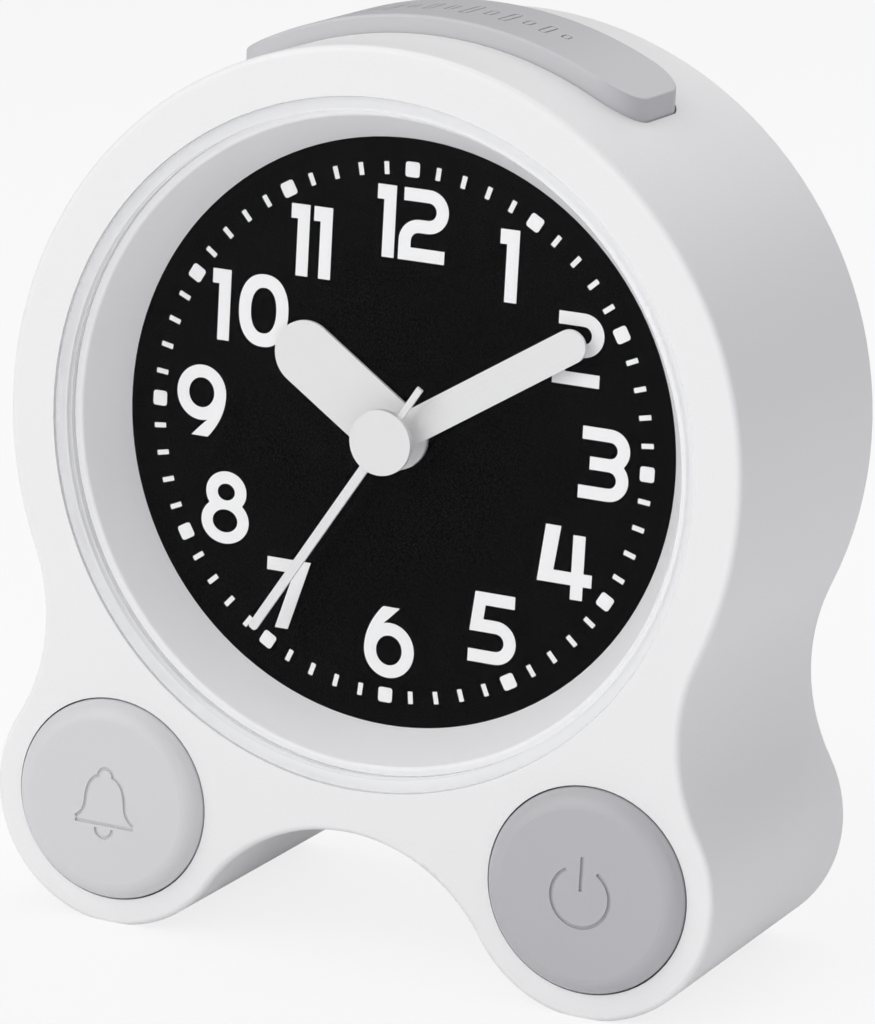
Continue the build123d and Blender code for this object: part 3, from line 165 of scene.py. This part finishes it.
def mixed(tree, share, first, second):
    """Shader between two. It is the second one where the share is 1."""
    node = tree.nodes.new("ShaderNodeMixShader")
    for socket, value in zip(node.inputs, (share, first, second)):
        feed(tree, socket, value)
    return node.outputs["Shader"]


def vary(tree, shader, colour, factor, spread):
    """Base colour that drifts by a share of itself with a factor from 0 to 1."""
    low, high = [(*[min(1, c * (1 + change)) for c in colour], 1) for change in (-spread, spread)]
    feed(tree, shader.inputs["Base Color"], blended(tree, factor, low, high))


def bump(tree, shader, height, strength, distance):
    """Bump on the shader's normal from a height of 0 to 1."""
    node = tree.nodes.new("ShaderNodeBump")
    for name, value in (("Height", height), ("Strength", strength), ("Distance", distance)):
        feed(tree, node.inputs[name], value)
    feed(tree, shader.inputs["Normal"], node.outputs["Normal"])


def drift_roughness(tree, shader, factor, low, high):
    """Roughness that drifts between two values with a factor from 0 to 1."""
    feed(tree, shader.inputs["Roughness"], mapped(tree, factor, 0, 1, low, high))


def moulded(name, colour, roughness, grain=0.12 * mm, depth=0.02 * mm, spread=0.025, **sockets):
    """Moulded or painted plastic with a fine grain."""
    patch, drift = 6 * mm, 0.03      # size of the duller and glossier patches, and their range
    made, tree, shader = material(name, colour, roughness, **sockets)
    fine = noise(tree, grain)
    vary(tree, shader, colour, fine, spread)
    bump(tree, shader, fine, strength=0.35, distance=depth)
    drift_roughness(tree, shader, noise(tree, patch), roughness - drift, roughness + drift)
    return made


def metal(name, colour, roughness, stretch=(1, 1, 1)):
    """Metal with fine drawn streaks, which change its colour and its gloss."""
    made, tree, shader = material(name, colour, roughness, Metallic=1.0)
    streaks = noise(tree, 0.3 * mm, detail=3.0, stretch=stretch)
    vary(tree, shader, colour, streaks, spread=0.08)
    bump(tree, shader, streaks, strength=0.2, distance=0.01 * mm)
    drift_roughness(tree, shader, streaks, low=roughness - 0.05, high=roughness + 0.08)
    return made


def winding(name, colour, turn):
    """Enamelled wire laid turn beside turn along X."""
    made, tree, shader = material(name, colour, 0.3, Metallic=0.8)
    place = tree.nodes.new("ShaderNodeTexCoord")
    wave = tree.nodes.new("ShaderNodeTexWave")
    wave.bands_direction = "X"
    wave.inputs["Scale"].default_value = pi / (10 * turn)    # one band to each turn
    feed(tree, wave.inputs["Vector"], place.outputs["Object"])
    vary(tree, shader, colour, wave.outputs["Fac"], spread=0.25)
    bump(tree, shader, wave.outputs["Fac"], strength=0.6, distance=turn / 2)
    return made


def from_axis(tree):
    """Distance from the dial's axis, in metres, at each point of a surface."""
    point = tree.nodes.new("ShaderNodeTexCoord").outputs["Object"]
    for operation, by in (("SUBTRACT", dial_centre), ("MULTIPLY", (1, 0, 1))):
        node = tree.nodes.new("ShaderNodeVectorMath")
        node.operation = operation
        feed(tree, node.inputs[0], point)
        feed(tree, node.inputs[1], by)
        point = node.outputs["Vector"]
    length = tree.nodes.new("ShaderNodeVectorMath")
    length.operation = "LENGTH"
    feed(tree, length.inputs[0], point)
    return length.outputs["Value"]


def bare_ends(made, node, nub, colour):
    """Bare metal on a finish's faces that look along X and on the nubs at a node's two ends."""
    squarely = 0.7           # least share of X in the normal of a face that looks that way
    low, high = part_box(node)
    tree = made.node_tree
    place = tree.nodes.new("ShaderNodeTexCoord")
    along = {}
    for source in ("Object", "Normal"):
        parts = tree.nodes.new("ShaderNodeSeparateXYZ")
        feed(tree, parts.inputs["Vector"], place.outputs[source])
        along[source] = parts.outputs["X"]
    offset = calculated(tree, "SUBTRACT", along["Object"], middle(node).x)
    past = calculated(tree, "GREATER_THAN", calculated(tree, "ABSOLUTE", offset),
                      (high.x - low.x) / 2 - nub)
    ends = calculated(tree, "GREATER_THAN", calculated(tree, "ABSOLUTE", along["Normal"]),
                      squarely)
    bare = calculated(tree, "MAXIMUM", past, ends)
    shader = tree.nodes["Principled BSDF"]
    sleeve = shader.inputs["Base Color"].links[0].from_socket
    feed(tree, shader.inputs["Base Color"], blended(tree, bare, sleeve, (*colour, 1)))
    feed(tree, shader.inputs["Metallic"], bare)
    return made


def clear_plastic(name):
    """Clear moulded plastic: a calm window and a brighter, slightly milky rim. What is seen
    through it is bent, but the light that falls on what lies behind it comes straight."""
    window_edge, rim_edge = 39.9 * mm, 40.0 * mm     # from the dial's axis
    made, tree, window = material(name, (0.985, 0.985, 0.985), 0.02, Transmission_Weight=1.0,
                                  IOR=1.1)
    rim = tree.nodes.new("ShaderNodeBsdfPrincipled")
    for socket, value in (("Base Color", (0.97, 0.975, 0.985, 1)), ("Roughness", 0.06),
                          ("Transmission Weight", 0.5), ("IOR", 1.47)):
        rim.inputs[socket].default_value = value
    at_rim = mapped(tree, from_axis(tree), window_edge, rim_edge, 0, 1)
    glass = mixed(tree, at_rim, window.outputs["BSDF"], rim.outputs["BSDF"])
    path = tree.nodes.new("ShaderNodeLightPath")
    reflected = calculated(tree, "SUBTRACT", path.outputs["Is Glossy Ray"],
                           path.outputs["Is Transmission Ray"])
    straight = path.outputs["Is Shadow Ray"]
    for ray in (path.outputs["Is Diffuse Ray"], reflected):
        straight = calculated(tree, "MAXIMUM", straight, ray)
    through = tree.nodes.new("ShaderNodeBsdfTransparent")
    whole = mixed(tree, straight, glass, through.outputs["BSDF"])
    feed(tree, tree.nodes["Material Output"].inputs["Surface"], whole)
    return made


finishes = {
    "housing": moulded("satin_white", (0.9, 0.9, 0.9), 0.45, 0.25 * mm, spread=0.03),
    "cover": moulded("grained_white", (0.84, 0.84, 0.845), 0.5, 0.3 * mm, 0.05 * mm),
    "clear": clear_plastic("clear_lens"),
    "surround": moulded("surround_grey", (0.95, 0.95, 0.96), 0.5, Specular_IOR_Level=0.3),
    "dial_print": moulded("dial_black", (0.001, 0.001, 0.001), 0.4, depth=0.004 * mm, spread=0.1,
                          Specular_IOR_Level=0.04),
    "hand_white": moulded("hand_white", (0.82, 0.82, 0.82), 0.45, 0.2 * mm, 0.01 * mm, 0.015),
    "button_grey": moulded("key_grey", (0.5, 0.5, 0.52), 0.4),
    "bar_grey": moulded("bar_grey", (0.59, 0.59, 0.61), 0.4),
    "inner_white": moulded("plain_white", (0.74, 0.74, 0.72), 0.5, 0.5 * mm),
    "inner_clear": moulded("smoke_plastic", (0.42, 0.47, 0.5), 0.3, 0.5 * mm),
    "gear_plastic": moulded("gear_plastic", (0.8, 0.76, 0.62), 0.4, 0.3 * mm),
    "steel": metal("zinc_steel", (0.62, 0.62, 0.63), 0.35),
    "spring_steel": metal("spring_nickel", (0.66, 0.64, 0.6), 0.28, (1, 1, 4)),
    "iron": metal("lamination_iron", (0.4, 0.4, 0.42), 0.45, (1, 6, 1)),
    "winding": winding("copper_winding", (0.55, 0.24, 0.1), 0.2 * mm),
    "board": moulded("board_green", (0.03, 0.16, 0.07), 0.35, 0.8 * mm, spread=0.2),
    "chip": moulded("chip_black", (0.02, 0.02, 0.02), 0.6, 0.15 * mm),
    "can": metal("drawn_can", (0.72, 0.72, 0.73), 0.25, (4, 1, 1)),
    "ferrite": moulded("ferrite", (0.045, 0.045, 0.05), 0.5, 0.1 * mm, spread=0.15),
    "switch": moulded("switch_black", (0.03, 0.03, 0.032), 0.45),
    "speaker_steel": metal("speaker_steel", (0.35, 0.35, 0.36), 0.4),
    "paper": moulded("pressed_paper", (0.03, 0.03, 0.03), 0.85, 0.25 * mm, 0.06 * mm, 0.3),
    "cell": bare_ends(moulded("cell_sleeve", (0.12, 0.24, 0.38), 0.3, 2 * mm, spread=0.04),
                      "battery_cells", 0.9 * mm, (0.66, 0.66, 0.67)),
}
# Paler copy of the keys' grey for the alarm key. This is painted light: the left-hand key is
# painted as more strongly lit than the right-hand one, though both keys are of one grey.
key_painted_lit = moulded("key_grey_painted_lit", (0.69, 0.69, 0.705), 0.4)
print_white = moulded("print_white", (0.94, 0.94, 0.94), 0.5, 0.15 * mm, 0.004 * mm, 0.02)


def dress_nodes():
    """Give every node of the frame the finish of its material slot."""
    slots = {row["node"]: row["material_slot"] for row in frame["record"]["subparts"]}
    for name, obj in frame["nodes"].items():
        obj.data.materials.clear()
        obj.data.materials.append(finishes[slots[name]])


dress_nodes()


# Flat outlines, as lists of points in metres

def arc(centre, radius, start, end, steps=16):
    """Points of an arc between two angles in degrees."""
    turns = [radians(start + (end - start) * n / steps) for n in range(steps + 1)]
    return [(centre[0] + radius * cos(t), centre[1] + radius * sin(t)) for t in turns]


def oval(centre, half_width, half_height, steps=48, power=2.0):
    """Closed oval. A power above 2 fills its corners."""
    points = []
    for n in range(steps):
        turn = 2 * pi * n / steps
        x = copysign(abs(cos(turn)) ** (2 / power), cos(turn)) * half_width
        z = copysign(abs(sin(turn)) ** (2 / power), sin(turn)) * half_height
        points.append((centre[0] + x, centre[1] + z))
    return points


def bent(start, pull, end, steps=12):
    """Points of a curve that leaves start and reaches end by way of a pull point."""
    points = []
    for n in range(steps + 1):
        t = n / steps
        points.append(tuple((1 - t) ** 2 * s + 2 * t * (1 - t) * p + t ** 2 * e
                            for s, p, e in zip(start, pull, end)))
    return points


def stroke(path, width):
    """Outline of a line of constant width along a path, with mitred corners."""
    sharpest = 0.3           # keeps the mitre of a very sharp corner short
    left, right = [], []
    for n, point in enumerate(path):
        before = Vector(point) - Vector(path[n - 1]) if n else None
        after = Vector(path[n + 1]) - Vector(point) if n + 1 < len(path) else None
        before = (before or after).normalized()
        after = (after or before).normalized()
        along = (before + after).normalized()
        half = width / 2 / max(along.dot(before), sharpest)
        side = Vector((-along.y, along.x)) * half
        left.append((point[0] + side.x, point[1] + side.y))
        right.append((point[0] - side.x, point[1] - side.y))
    return left + right[::-1]


def moved(loops, offset, turn=0.0):
    """Loops turned clockwise by an angle in degrees, then moved."""
    c, s = cos(radians(turn)), sin(radians(turn))
    return [[(offset[0] + x * c + z * s, offset[1] - x * s + z * c) for x, z in loop]
            for loop in loops]


def area(loop):
    """Signed area of a loop, above 0 when it runs anticlockwise."""
    return sum(a[0] * b[1] - b[0] * a[1] for a, b in zip(loop, loop[1:] + loop[:1])) / 2


def prism(name, shapes, place, front, back):
    """Thin closed form. Each shape is an outline and its holes, and place puts a point of it
    at a lift above the surface that carries it."""
    mesh = bmesh.new()
    for shape in shapes:
        loops = [loop if (area(loop) > 0) == (n == 0) else loop[::-1]
                 for n, loop in enumerate(shape)]
        flat = [Vector((x, z, 0)) for loop in loops for x, z in loop]
        tops = [mesh.verts.new(place(p.x, p.y, front)) for p in flat]
        feet = [mesh.verts.new(place(p.x, p.y, back)) for p in flat]
        for tri in tessellate_polygon([[Vector((x, z, 0)) for x, z in loop] for loop in loops]):
            mesh.faces.new([tops[i] for i in tri])
            mesh.faces.new([feet[i] for i in reversed(tri)])
        start = 0
        for loop in loops:
            count = len(loop)
            for n in range(count):
                a, b = start + n, start + (n + 1) % count
                mesh.faces.new([tops[a], tops[b], feet[b], feet[a]])
            start += count
    bmesh.ops.recalc_face_normals(mesh, faces=mesh.faces)
    data = bpy.data.meshes.new(name)
    mesh.to_mesh(data)
    mesh.free()
    obj = bpy.data.objects.new(name, data)
    scene.collection.objects.link(obj)
    return obj


def plate(name, shapes, place, lift, finish, body):
    """Print of a small thickness on a surface."""
    obj = prism(name, shapes, place, lift, 0)
    obj.data.materials.append(finish)
    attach(obj, body)


def faces_of(data):
    """Search tree of a mesh's faces."""
    return BVHTree.FromPolygons([v.co for v in data.vertices],
                                [p.vertices for p in data.polygons])


def keep_normals(data, source):
    """Give what is left of a surface its old smooth normals, and the cuts in it flat ones."""
    near = faces_of(source)
    same_place, same_facing = 0.02 * mm, cos(radians(10))
    normals = [None] * len(data.loops)
    for face in data.polygons:
        facing, index, gap = near.find_nearest(face.center)[1:]
        old = source.polygons[index]
        outline = [source.vertices[i].co for i in old.vertices]
        kept = gap < same_place and face.normal.dot(facing) > same_facing
        for corner in face.loop_indices:
            normal = face.normal
            if kept:
                point = data.vertices[data.loops[corner].vertex_index].co
                shares = poly_3d_calc(outline, point)
                normal = sum((share * source.corner_normals[i].vector
                              for share, i in zip(shares, old.loop_indices)), Vector())
            normals[corner] = normal.normalized()
    data.normals_split_custom_set(normals)


def twin(node, suffix):
    """Shown copy of a node."""
    obj = frame["nodes"][node].copy()
    obj.data = obj.data.copy()
    obj.name = node + suffix
    scene.collection.objects.link(obj)
    obj.hide_render = obj.hide_viewport = False
    return obj


def engrave(node, shapes, place, depth, finish, body):
    """Copy of a node with a sign sunk into its surface, which stands for the node."""
    tool = prism("tool", shapes, place, depth, -depth)
    source = frame["nodes"][node].data
    carved = twin(node, "_engraved")
    cut = carved.modifiers.new("sign", "BOOLEAN")
    cut.operation, cut.solver, cut.object = "DIFFERENCE", "EXACT", tool
    bpy.context.view_layer.update()
    shape = carved.evaluated_get(bpy.context.evaluated_depsgraph_get())
    data = bpy.data.meshes.new_from_object(shape)
    carved.modifiers.clear()
    carved.data = data
    keep_normals(data, source)
    data.materials.clear()
    data.materials.append(finish)
    bpy.data.objects.remove(tool)
    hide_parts(node)
    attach(carved, body)


# Numerals of the dial

figure_height = 8.65 * mm
line = 1.56 * mm


def figure_one():
    """Stem with a square flag."""
    flag, drop, stem = 0.88 * mm, 1.77 * mm, 1.56 * mm
    top, right = figure_height, flag + stem
    return [[(flag, 0), (right, 0), (right, top), (0, top), (0, top - drop), (flag, top - drop)]]


def figure_two():
    """One line: flat top, round right, middle, round left and a flat foot."""
    right, foot, indent = 6.3 * mm, 6.0 * mm, 0.45 * mm
    bow = 2.62 * mm
    radius = bow - line / 2
    upper = (right - bow, figure_height - bow)
    lower = (line / 2 + radius, upper[1] - 2 * radius)
    path = [(indent, figure_height - line / 2), *arc(upper, radius, 90, -90),
            *arc(lower, radius, 90, 180), (line / 2, line / 2), (foot, line / 2)]
    return [stroke(path, line)]


def figure_three():
    """Two bows that share a middle bar, with flat ends at the left."""
    right, indent, bar = 6.3 * mm, 0.2 * mm, 1.3 * mm
    bow = (figure_height + line) / 4
    inner = bow - line
    x = right - bow
    low, high = (x, bow), (x, figure_height - bow)
    meet = 42.1              # degrees, where the bows cross at the right
    return [[(indent, figure_height), *arc(high, bow, 90, -meet), *arc(low, bow, meet, -90),
             (0, 0), (0, line), *arc(low, inner, -90, 90), (bar, 2 * bow - line),
             (bar, 2 * bow), *arc(high, inner, -90, 90), (indent, figure_height - line)]]


def figure_four():
    """Leaning stroke, crossbar and a stem that starts lower."""
    top, stem_top = figure_height, 7.8 * mm
    bar_low = 1.7 * mm
    bar_high = bar_low + line
    stem, right = 4.35 * mm, 7.0 * mm
    lean_left, lean_right, lean_foot = 0.78 * mm, 2.74 * mm, 2.04 * mm
    return [[(lean_left, top), (0, bar_low), (stem, bar_low), (stem, 0), (stem + line, 0),
             (stem + line, bar_low), (right, bar_low), (right, bar_high),
             (stem + line, bar_high), (stem + line, stem_top), (stem, stem_top),
             (stem, bar_high), (lean_foot, bar_high), (lean_right, top)]]


def figure_five():
    """Flat top, leaning side and a round bow with a flat foot."""
    right, top_end = 6.15 * mm, 5.75 * mm
    corner, side_foot = 1.28 * mm, 0.92 * mm
    bow = 2.67 * mm
    radius = bow - line / 2
    centre = (right - bow, bow)
    path = [(top_end, figure_height - line / 2), (corner, figure_height - line / 2),
            (side_foot, bow + radius), *arc(centre, radius, 90, -90), (0, line / 2)]
    return [stroke(path, line)]


def figure_six():
    """Oval bowl with a stem that leans to the right and a level cut on top."""
    wide, tall = 3.3 * mm, 3.4 * mm      # half sizes of the bowl
    below = 0.1 * mm                     # how far the bowl reaches under the foot line
    thicker = 0.03 * mm                  # what its line gains at the sides
    centre = (wide, tall - below)
    meet = 106                           # degrees, where the stem's right side meets it
    joint = (centre[0] + wide * cos(radians(meet)), centre[1] + tall * sin(radians(meet)))
    cut_left, cut_right = (2.25 * mm, figure_height), (4.45 * mm, figure_height)
    bowl = [(centre[0] + wide * cos(radians(t)), centre[1] + tall * sin(radians(t)))
            for t in range(180, 360 + meet, 8)]
    left_pull, right_pull = (0, 6.1 * mm), (3.2 * mm, 7.3 * mm)
    outer = bent(cut_left, left_pull, (0, centre[1]))[:-1] + bowl
    inner = bent(joint, right_pull, cut_right)
    return [outer + inner, oval(centre, wide - line - thicker, tall - line)]


def figure_seven():
    """Flat top and a straight slanting stroke."""
    right = 5.8 * mm
    foot_left, foot_right = 1.41 * mm, 3.13 * mm
    bar = figure_height - 1.62 * mm
    lean = (right - foot_right) / figure_height
    return [[(0, figure_height), (0, bar), (foot_left + bar * lean, bar), (foot_left, 0),
             (foot_right, 0), (right, figure_height)]]


def figure_eight():
    """Two ovals, the lower one larger."""
    low, high = (3.2 * mm, 2.72 * mm), (3.2 * mm, 6.3 * mm)      # their middles
    big, small = (3.2 * mm, 2.82 * mm), (2.72 * mm, 2.55 * mm)   # their half sizes
    big_hole, small_hole = (1.68 * mm, 1.42 * mm), (1.17 * mm, 1.04 * mm)

    def outside(point, centre, half):
        return hypot((point[0] - centre[0]) / half[0], (point[1] - centre[1]) / half[1]) > 1

    below = [p for p in oval(low, *big, 72) if outside(p, high, small)]
    above = [p for p in oval(high, *small, 72) if outside(p, low, big)]
    below.sort(key=lambda p: atan2(p[0] - low[0], low[1] - p[1]))
    above.sort(key=lambda p: atan2(high[0] - p[0], p[1] - high[1]))
    return [below + above, oval(low, *big_hole), oval(high, *small_hole)]


def figure_nine():
    """The six turned half round."""
    width, height = 6.6 * mm, figure_height
    return [[(width - x, height - z) for x, z in loop] for loop in figure_six()]


def figure_nought():
    """Tall oval ring with slightly filled corners."""
    wide, tall = 3.3 * mm, 4.42 * mm     # half sizes
    side, end = 1.6 * mm, 1.64 * mm      # its line at the sides and at the ends
    centre, power = (wide, figure_height / 2), 2.25
    return [oval(centre, wide, tall, power=power),
            oval(centre, wide - side, tall - end, power=power)]


figures = {"0": figure_nought, "1": figure_one, "2": figure_two, "3": figure_three,
           "4": figure_four, "5": figure_five, "6": figure_six, "7": figure_seven,
           "8": figure_eight, "9": figure_nine}
figure_gaps = {10: 1.2 * mm, 11: 0.55 * mm, 12: 0.55 * mm}     # between two digits
hour_ring = 32 * mm      # radius of the ring of hour marks
ring_middle = (0.14 * mm, 0.02 * mm)   # of the ring, from the dial's axis
hour_places = {           # middle of each numeral, as shares of that radius
    12: (0.014, 0.798), 1: (0.409, 0.694), 2: (0.705, 0.424), 3: (0.834, 0.011),
    4: (0.703, -0.377), 5: (0.429, -0.675), 6: (0.01, -0.794), 7: (-0.422, -0.677),
    8: (-0.699, -0.384), 9: (-0.821, 0.015), 10: (-0.634, 0.394), 11: (-0.395, 0.681),
}
print_lift = 0.04 * mm


def span(points):
    """Lowest and highest x of some points."""
    return min(p[0] for p in points), max(p[0] for p in points)


def numeral(hour):
    """Shapes of one numeral, its digits side by side, centred on its place."""
    shapes, x = [], 0
    gap = figure_gaps.get(hour, 0)
    for digit in str(hour):
        loops = figures[digit]()
        low, high = span(loops[0])
        shapes.append(moved(loops, (x - low, 0)))
        x += high - low + gap
    width = x - gap
    share_x, share_z = hour_places[hour]
    place = (share_x * hour_ring - width / 2, share_z * hour_ring - figure_height / 2)
    return [moved(loops, place) for loops in shapes]


def on_dial(x, z, lift):
    """Point of the dial's printed face."""
    return dial_centre + Vector((x, -lift, z))


def rounded_square(side, corner):
    """Square with round corners, centred."""
    flat = side / 2 - corner
    points = []
    for quarter, (x, z) in enumerate(((1, 1), (-1, 1), (-1, -1), (1, -1))):
        points += arc((x * flat, z * flat), corner, 90 * quarter, 90 * quarter + 90, steps=5)
    return points


def dial_print():
    """Twelve numerals, twelve hour squares and the minute bars between them."""
    plate("dial_numerals", [shape for hour in hour_places for shape in numeral(hour)],
          on_dial, print_lift, print_white, "case")
    square = rounded_square(side=1.83 * mm, corner=0.36 * mm)
    half_wide, half_tall = 0.3 * mm, 0.76 * mm
    bar = [(-half_wide, -half_tall), (half_wide, -half_tall), (half_wide, half_tall),
           (-half_wide, half_tall)]
    marks = []
    for minute in range(60):
        turn = minute * 6
        place = (ring_middle[0] + hour_ring * sin(radians(turn)),
                 ring_middle[1] + hour_ring * cos(radians(turn)))
        marks.append(moved([bar if minute % 5 else square], place, turn))
    plate("dial_marks", marks, on_dial, print_lift, print_white, "case")


dial_print()


# Plain signs sunk into the keys

sign_depth = 0.3 * mm
sign_line = 0.42 * mm
ray_reach = 0.2          # metres, further out than any face of the clock


def surface(node):
    """Function that gives where a ray meets a node."""
    tree = faces_of(frame["nodes"][node].data)

    def meet(start, aim):
        place = tree.ray_cast(start, aim)[0]
        if place is None:
            raise ValueError(f"a sign on {node} runs off its face")
        return place
    return meet


def on_key(node):
    """Placing function for the face of a front button."""
    meet = surface(node)
    centre = middle(node)
    ahead = Vector((0, -1, 0))

    def place(x, z, lift):
        start = Vector((centre.x + x, cad_low.y, centre.z + z)) + ahead * ray_reach
        return meet(start, -ahead) + ahead * lift
    return place


def on_bar():
    """Placing function for the bar's curved top, x along the curve and y towards the back."""
    meet = surface("talk_bar")
    depth = middle("talk_bar").y
    radius = cad_high.z - dial_centre.z

    def place(x, y, lift):
        turn = x / radius
        out = Vector((sin(turn), 0, cos(turn)))
        start = Vector((0, depth + y, dial_centre.z)) + out * ray_reach
        return meet(start, -out) + out * lift
    return place


def lines(*paths):
    """Strokes of the signs' width along paths."""
    return [[stroke(path, sign_line)] for path in paths]


def bell():
    """Bell in outline, its rim and its clapper."""
    shoulder, waist, foot = (-1.0 * mm, 3.3 * mm), (-2.7 * mm, -0.2 * mm), (-4.0 * mm, -2.3 * mm)
    rim_level, clapper_level, clapper_radius = -2.75 * mm, -3.3 * mm, 1.15 * mm
    left = bent(shoulder, (-2.6 * mm, 2.7 * mm), waist)
    left += bent(waist, (-2.8 * mm, -1.6 * mm), foot)[1:]
    right = [(-x, z) for x, z in left]
    crown = arc((0, shoulder[1]), -shoulder[0], 180, 0, steps=12)
    side = left[::-1] + crown[1:-1] + right
    rim = [(foot[0], rim_level), (-foot[0], rim_level)]
    clapper = arc((0, clapper_level), clapper_radius, 180, 360, steps=14)
    return lines(side, rim, clapper)


def power_sign():
    """Open ring with an upright bar."""
    centre, radius = (0, -0.3 * mm), 3.7 * mm
    opening = 32             # degrees on each side of the top
    bar = [(0, 0.4 * mm), (0, 4.6 * mm)]
    return lines(arc(centre, radius, 90 + opening, 450 - opening, steps=48), bar)


def sound_sign():
    """Row of upright bars of changing length, each drawn as a thin outline."""
    pitch, half_wide, half_tall = 2.5 * mm, 0.55 * mm, 3.4 * mm
    shares = (0.3, 0.6, 1.0, 0.45, 0.8, 0.55, 0.95, 0.5, 0.85, 0.4, 0.65, 0.3)
    shapes = []
    for n, share in enumerate(shares):
        x = (n - (len(shares) - 1) / 2) * pitch
        top = share * half_tall - half_wide
        shapes.append([[(x + a, y + (top if y > 0 else -top))
                        for a, y in oval((0, 0), half, half, steps=24)]
                       for half in (half_wide, half_wide - sign_line / 2)])
    return shapes


# The alarm key takes the paler copy of the keys' grey, which is painted light.
engrave("alarm_button", bell(), on_key("alarm_button"), sign_depth, key_painted_lit, "alarm_key")
engrave("on_off_button", power_sign(), on_key("on_off_button"), sign_depth,
        finishes["button_grey"], "on_off_key")
engrave("talk_bar", sound_sign(), on_bar(), sign_depth, finishes["bar_grey"], "talk_key")


def squeeze_springs():
    """Shown copy of the bar's springs, in place of the node and carried with the case."""
    node = "talk_bar_springs"
    springs = twin(node, "_squeezed")
    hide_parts(node)
    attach(springs, "case")
    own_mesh(springs)


squeeze_springs()


# Room: floor, world, lamps and camera

def floor():
    """Pale floor that keeps the clock's shadow."""
    reach = 6.0              # metres to each side
    glow_share = 0.8         # share of plain white in what is seen of it
    data = bpy.data.meshes.new("floor")
    corners = [(-reach, -reach, 0), (reach, -reach, 0), (reach, reach, 0), (-reach, reach, 0)]
    data.from_pydata(corners, [], [(0, 1, 2, 3)])
    obj = bpy.data.objects.new("floor", data)
    scene.collection.objects.link(obj)
    made, tree, shader = material("floor_white", (0.94, 0.94, 0.95), 0.9)
    glow = tree.nodes.new("ShaderNodeEmission")
    path = tree.nodes.new("ShaderNodeLightPath")
    share = calculated(tree, "MULTIPLY", path.outputs["Is Camera Ray"], glow_share)
    whole = mixed(tree, share, shader.outputs["BSDF"], glow.outputs["Emission"])
    feed(tree, tree.nodes["Material Output"].inputs["Surface"], whole)
    data.materials.append(made)


def world(light, strength):
    """Pale even light, with plain white where the camera looks past the floor."""
    made = bpy.data.worlds.new("room")
    scene.world = made
    made.use_nodes = True
    tree = made.node_tree
    fill = tree.nodes["Background"]
    fill.inputs["Color"].default_value = (*light, 1)
    fill.inputs["Strength"].default_value = strength
    white = tree.nodes.new("ShaderNodeBackground")
    white.inputs["Color"].default_value = (1, 1, 1, 1)
    path = tree.nodes.new("ShaderNodeLightPath")
    whole = mixed(tree, path.outputs["Is Camera Ray"], fill.outputs["Background"],
                  white.outputs["Background"])
    feed(tree, tree.nodes["World Output"].inputs["Surface"], whole)


def lamp(name, place, power, colour=(1, 1, 1), side=0.9):
    """Square soft lamp aimed at the clock, with its power in watts."""
    light = bpy.data.lights.new(name, "AREA")
    light.size = side
    light.energy = power
    light.color = colour
    obj = bpy.data.objects.new(name, light)
    scene.collection.objects.link(obj)
    obj.location = place
    aim = dial_centre - Vector(place)
    obj.rotation_euler = aim.to_track_quat("-Z", "Y").to_euler()


def camera():
    """Camera at the photograph's place, seen from the right and a little above."""
    focal_pixels = 5224.9    # focal length, in pixels of the photograph
    long_side_pixels = 1024
    offset = Vector((0.25308, -0.54831, 0.14013))    # from the dial's centre
    pitch, roll, turn = 76.0975, -3.041, 25.0411     # degrees
    data = bpy.data.cameras.new("camera")
    data.sensor_width = 36
    data.lens = focal_pixels * data.sensor_width / long_side_pixels
    data.clip_start, data.clip_end = 0.01, 50
    obj = bpy.data.objects.new("camera", data)
    scene.collection.objects.link(obj)
    obj.location = dial_centre + offset
    obj.rotation_euler = (radians(pitch), radians(roll), radians(turn))
    scene.camera = obj


floor()
world(light=(0.965, 0.96, 1.0), strength=0.25)
lamp("front_lamp", (-0.6, -1.0, 0.7), power=9.9, colour=(1.0, 1.0, 0.985), side=1.3)
lamp("right_lamp", (0.9, -1.0, 0.35), power=3.1, colour=(0.97, 0.965, 1.0))
lamp("top_lamp", (-0.1, 0.1, 1.2), power=4.1)
lamp("back_lamp", (0.2, 0.9, 0.8), power=3.0)
camera()
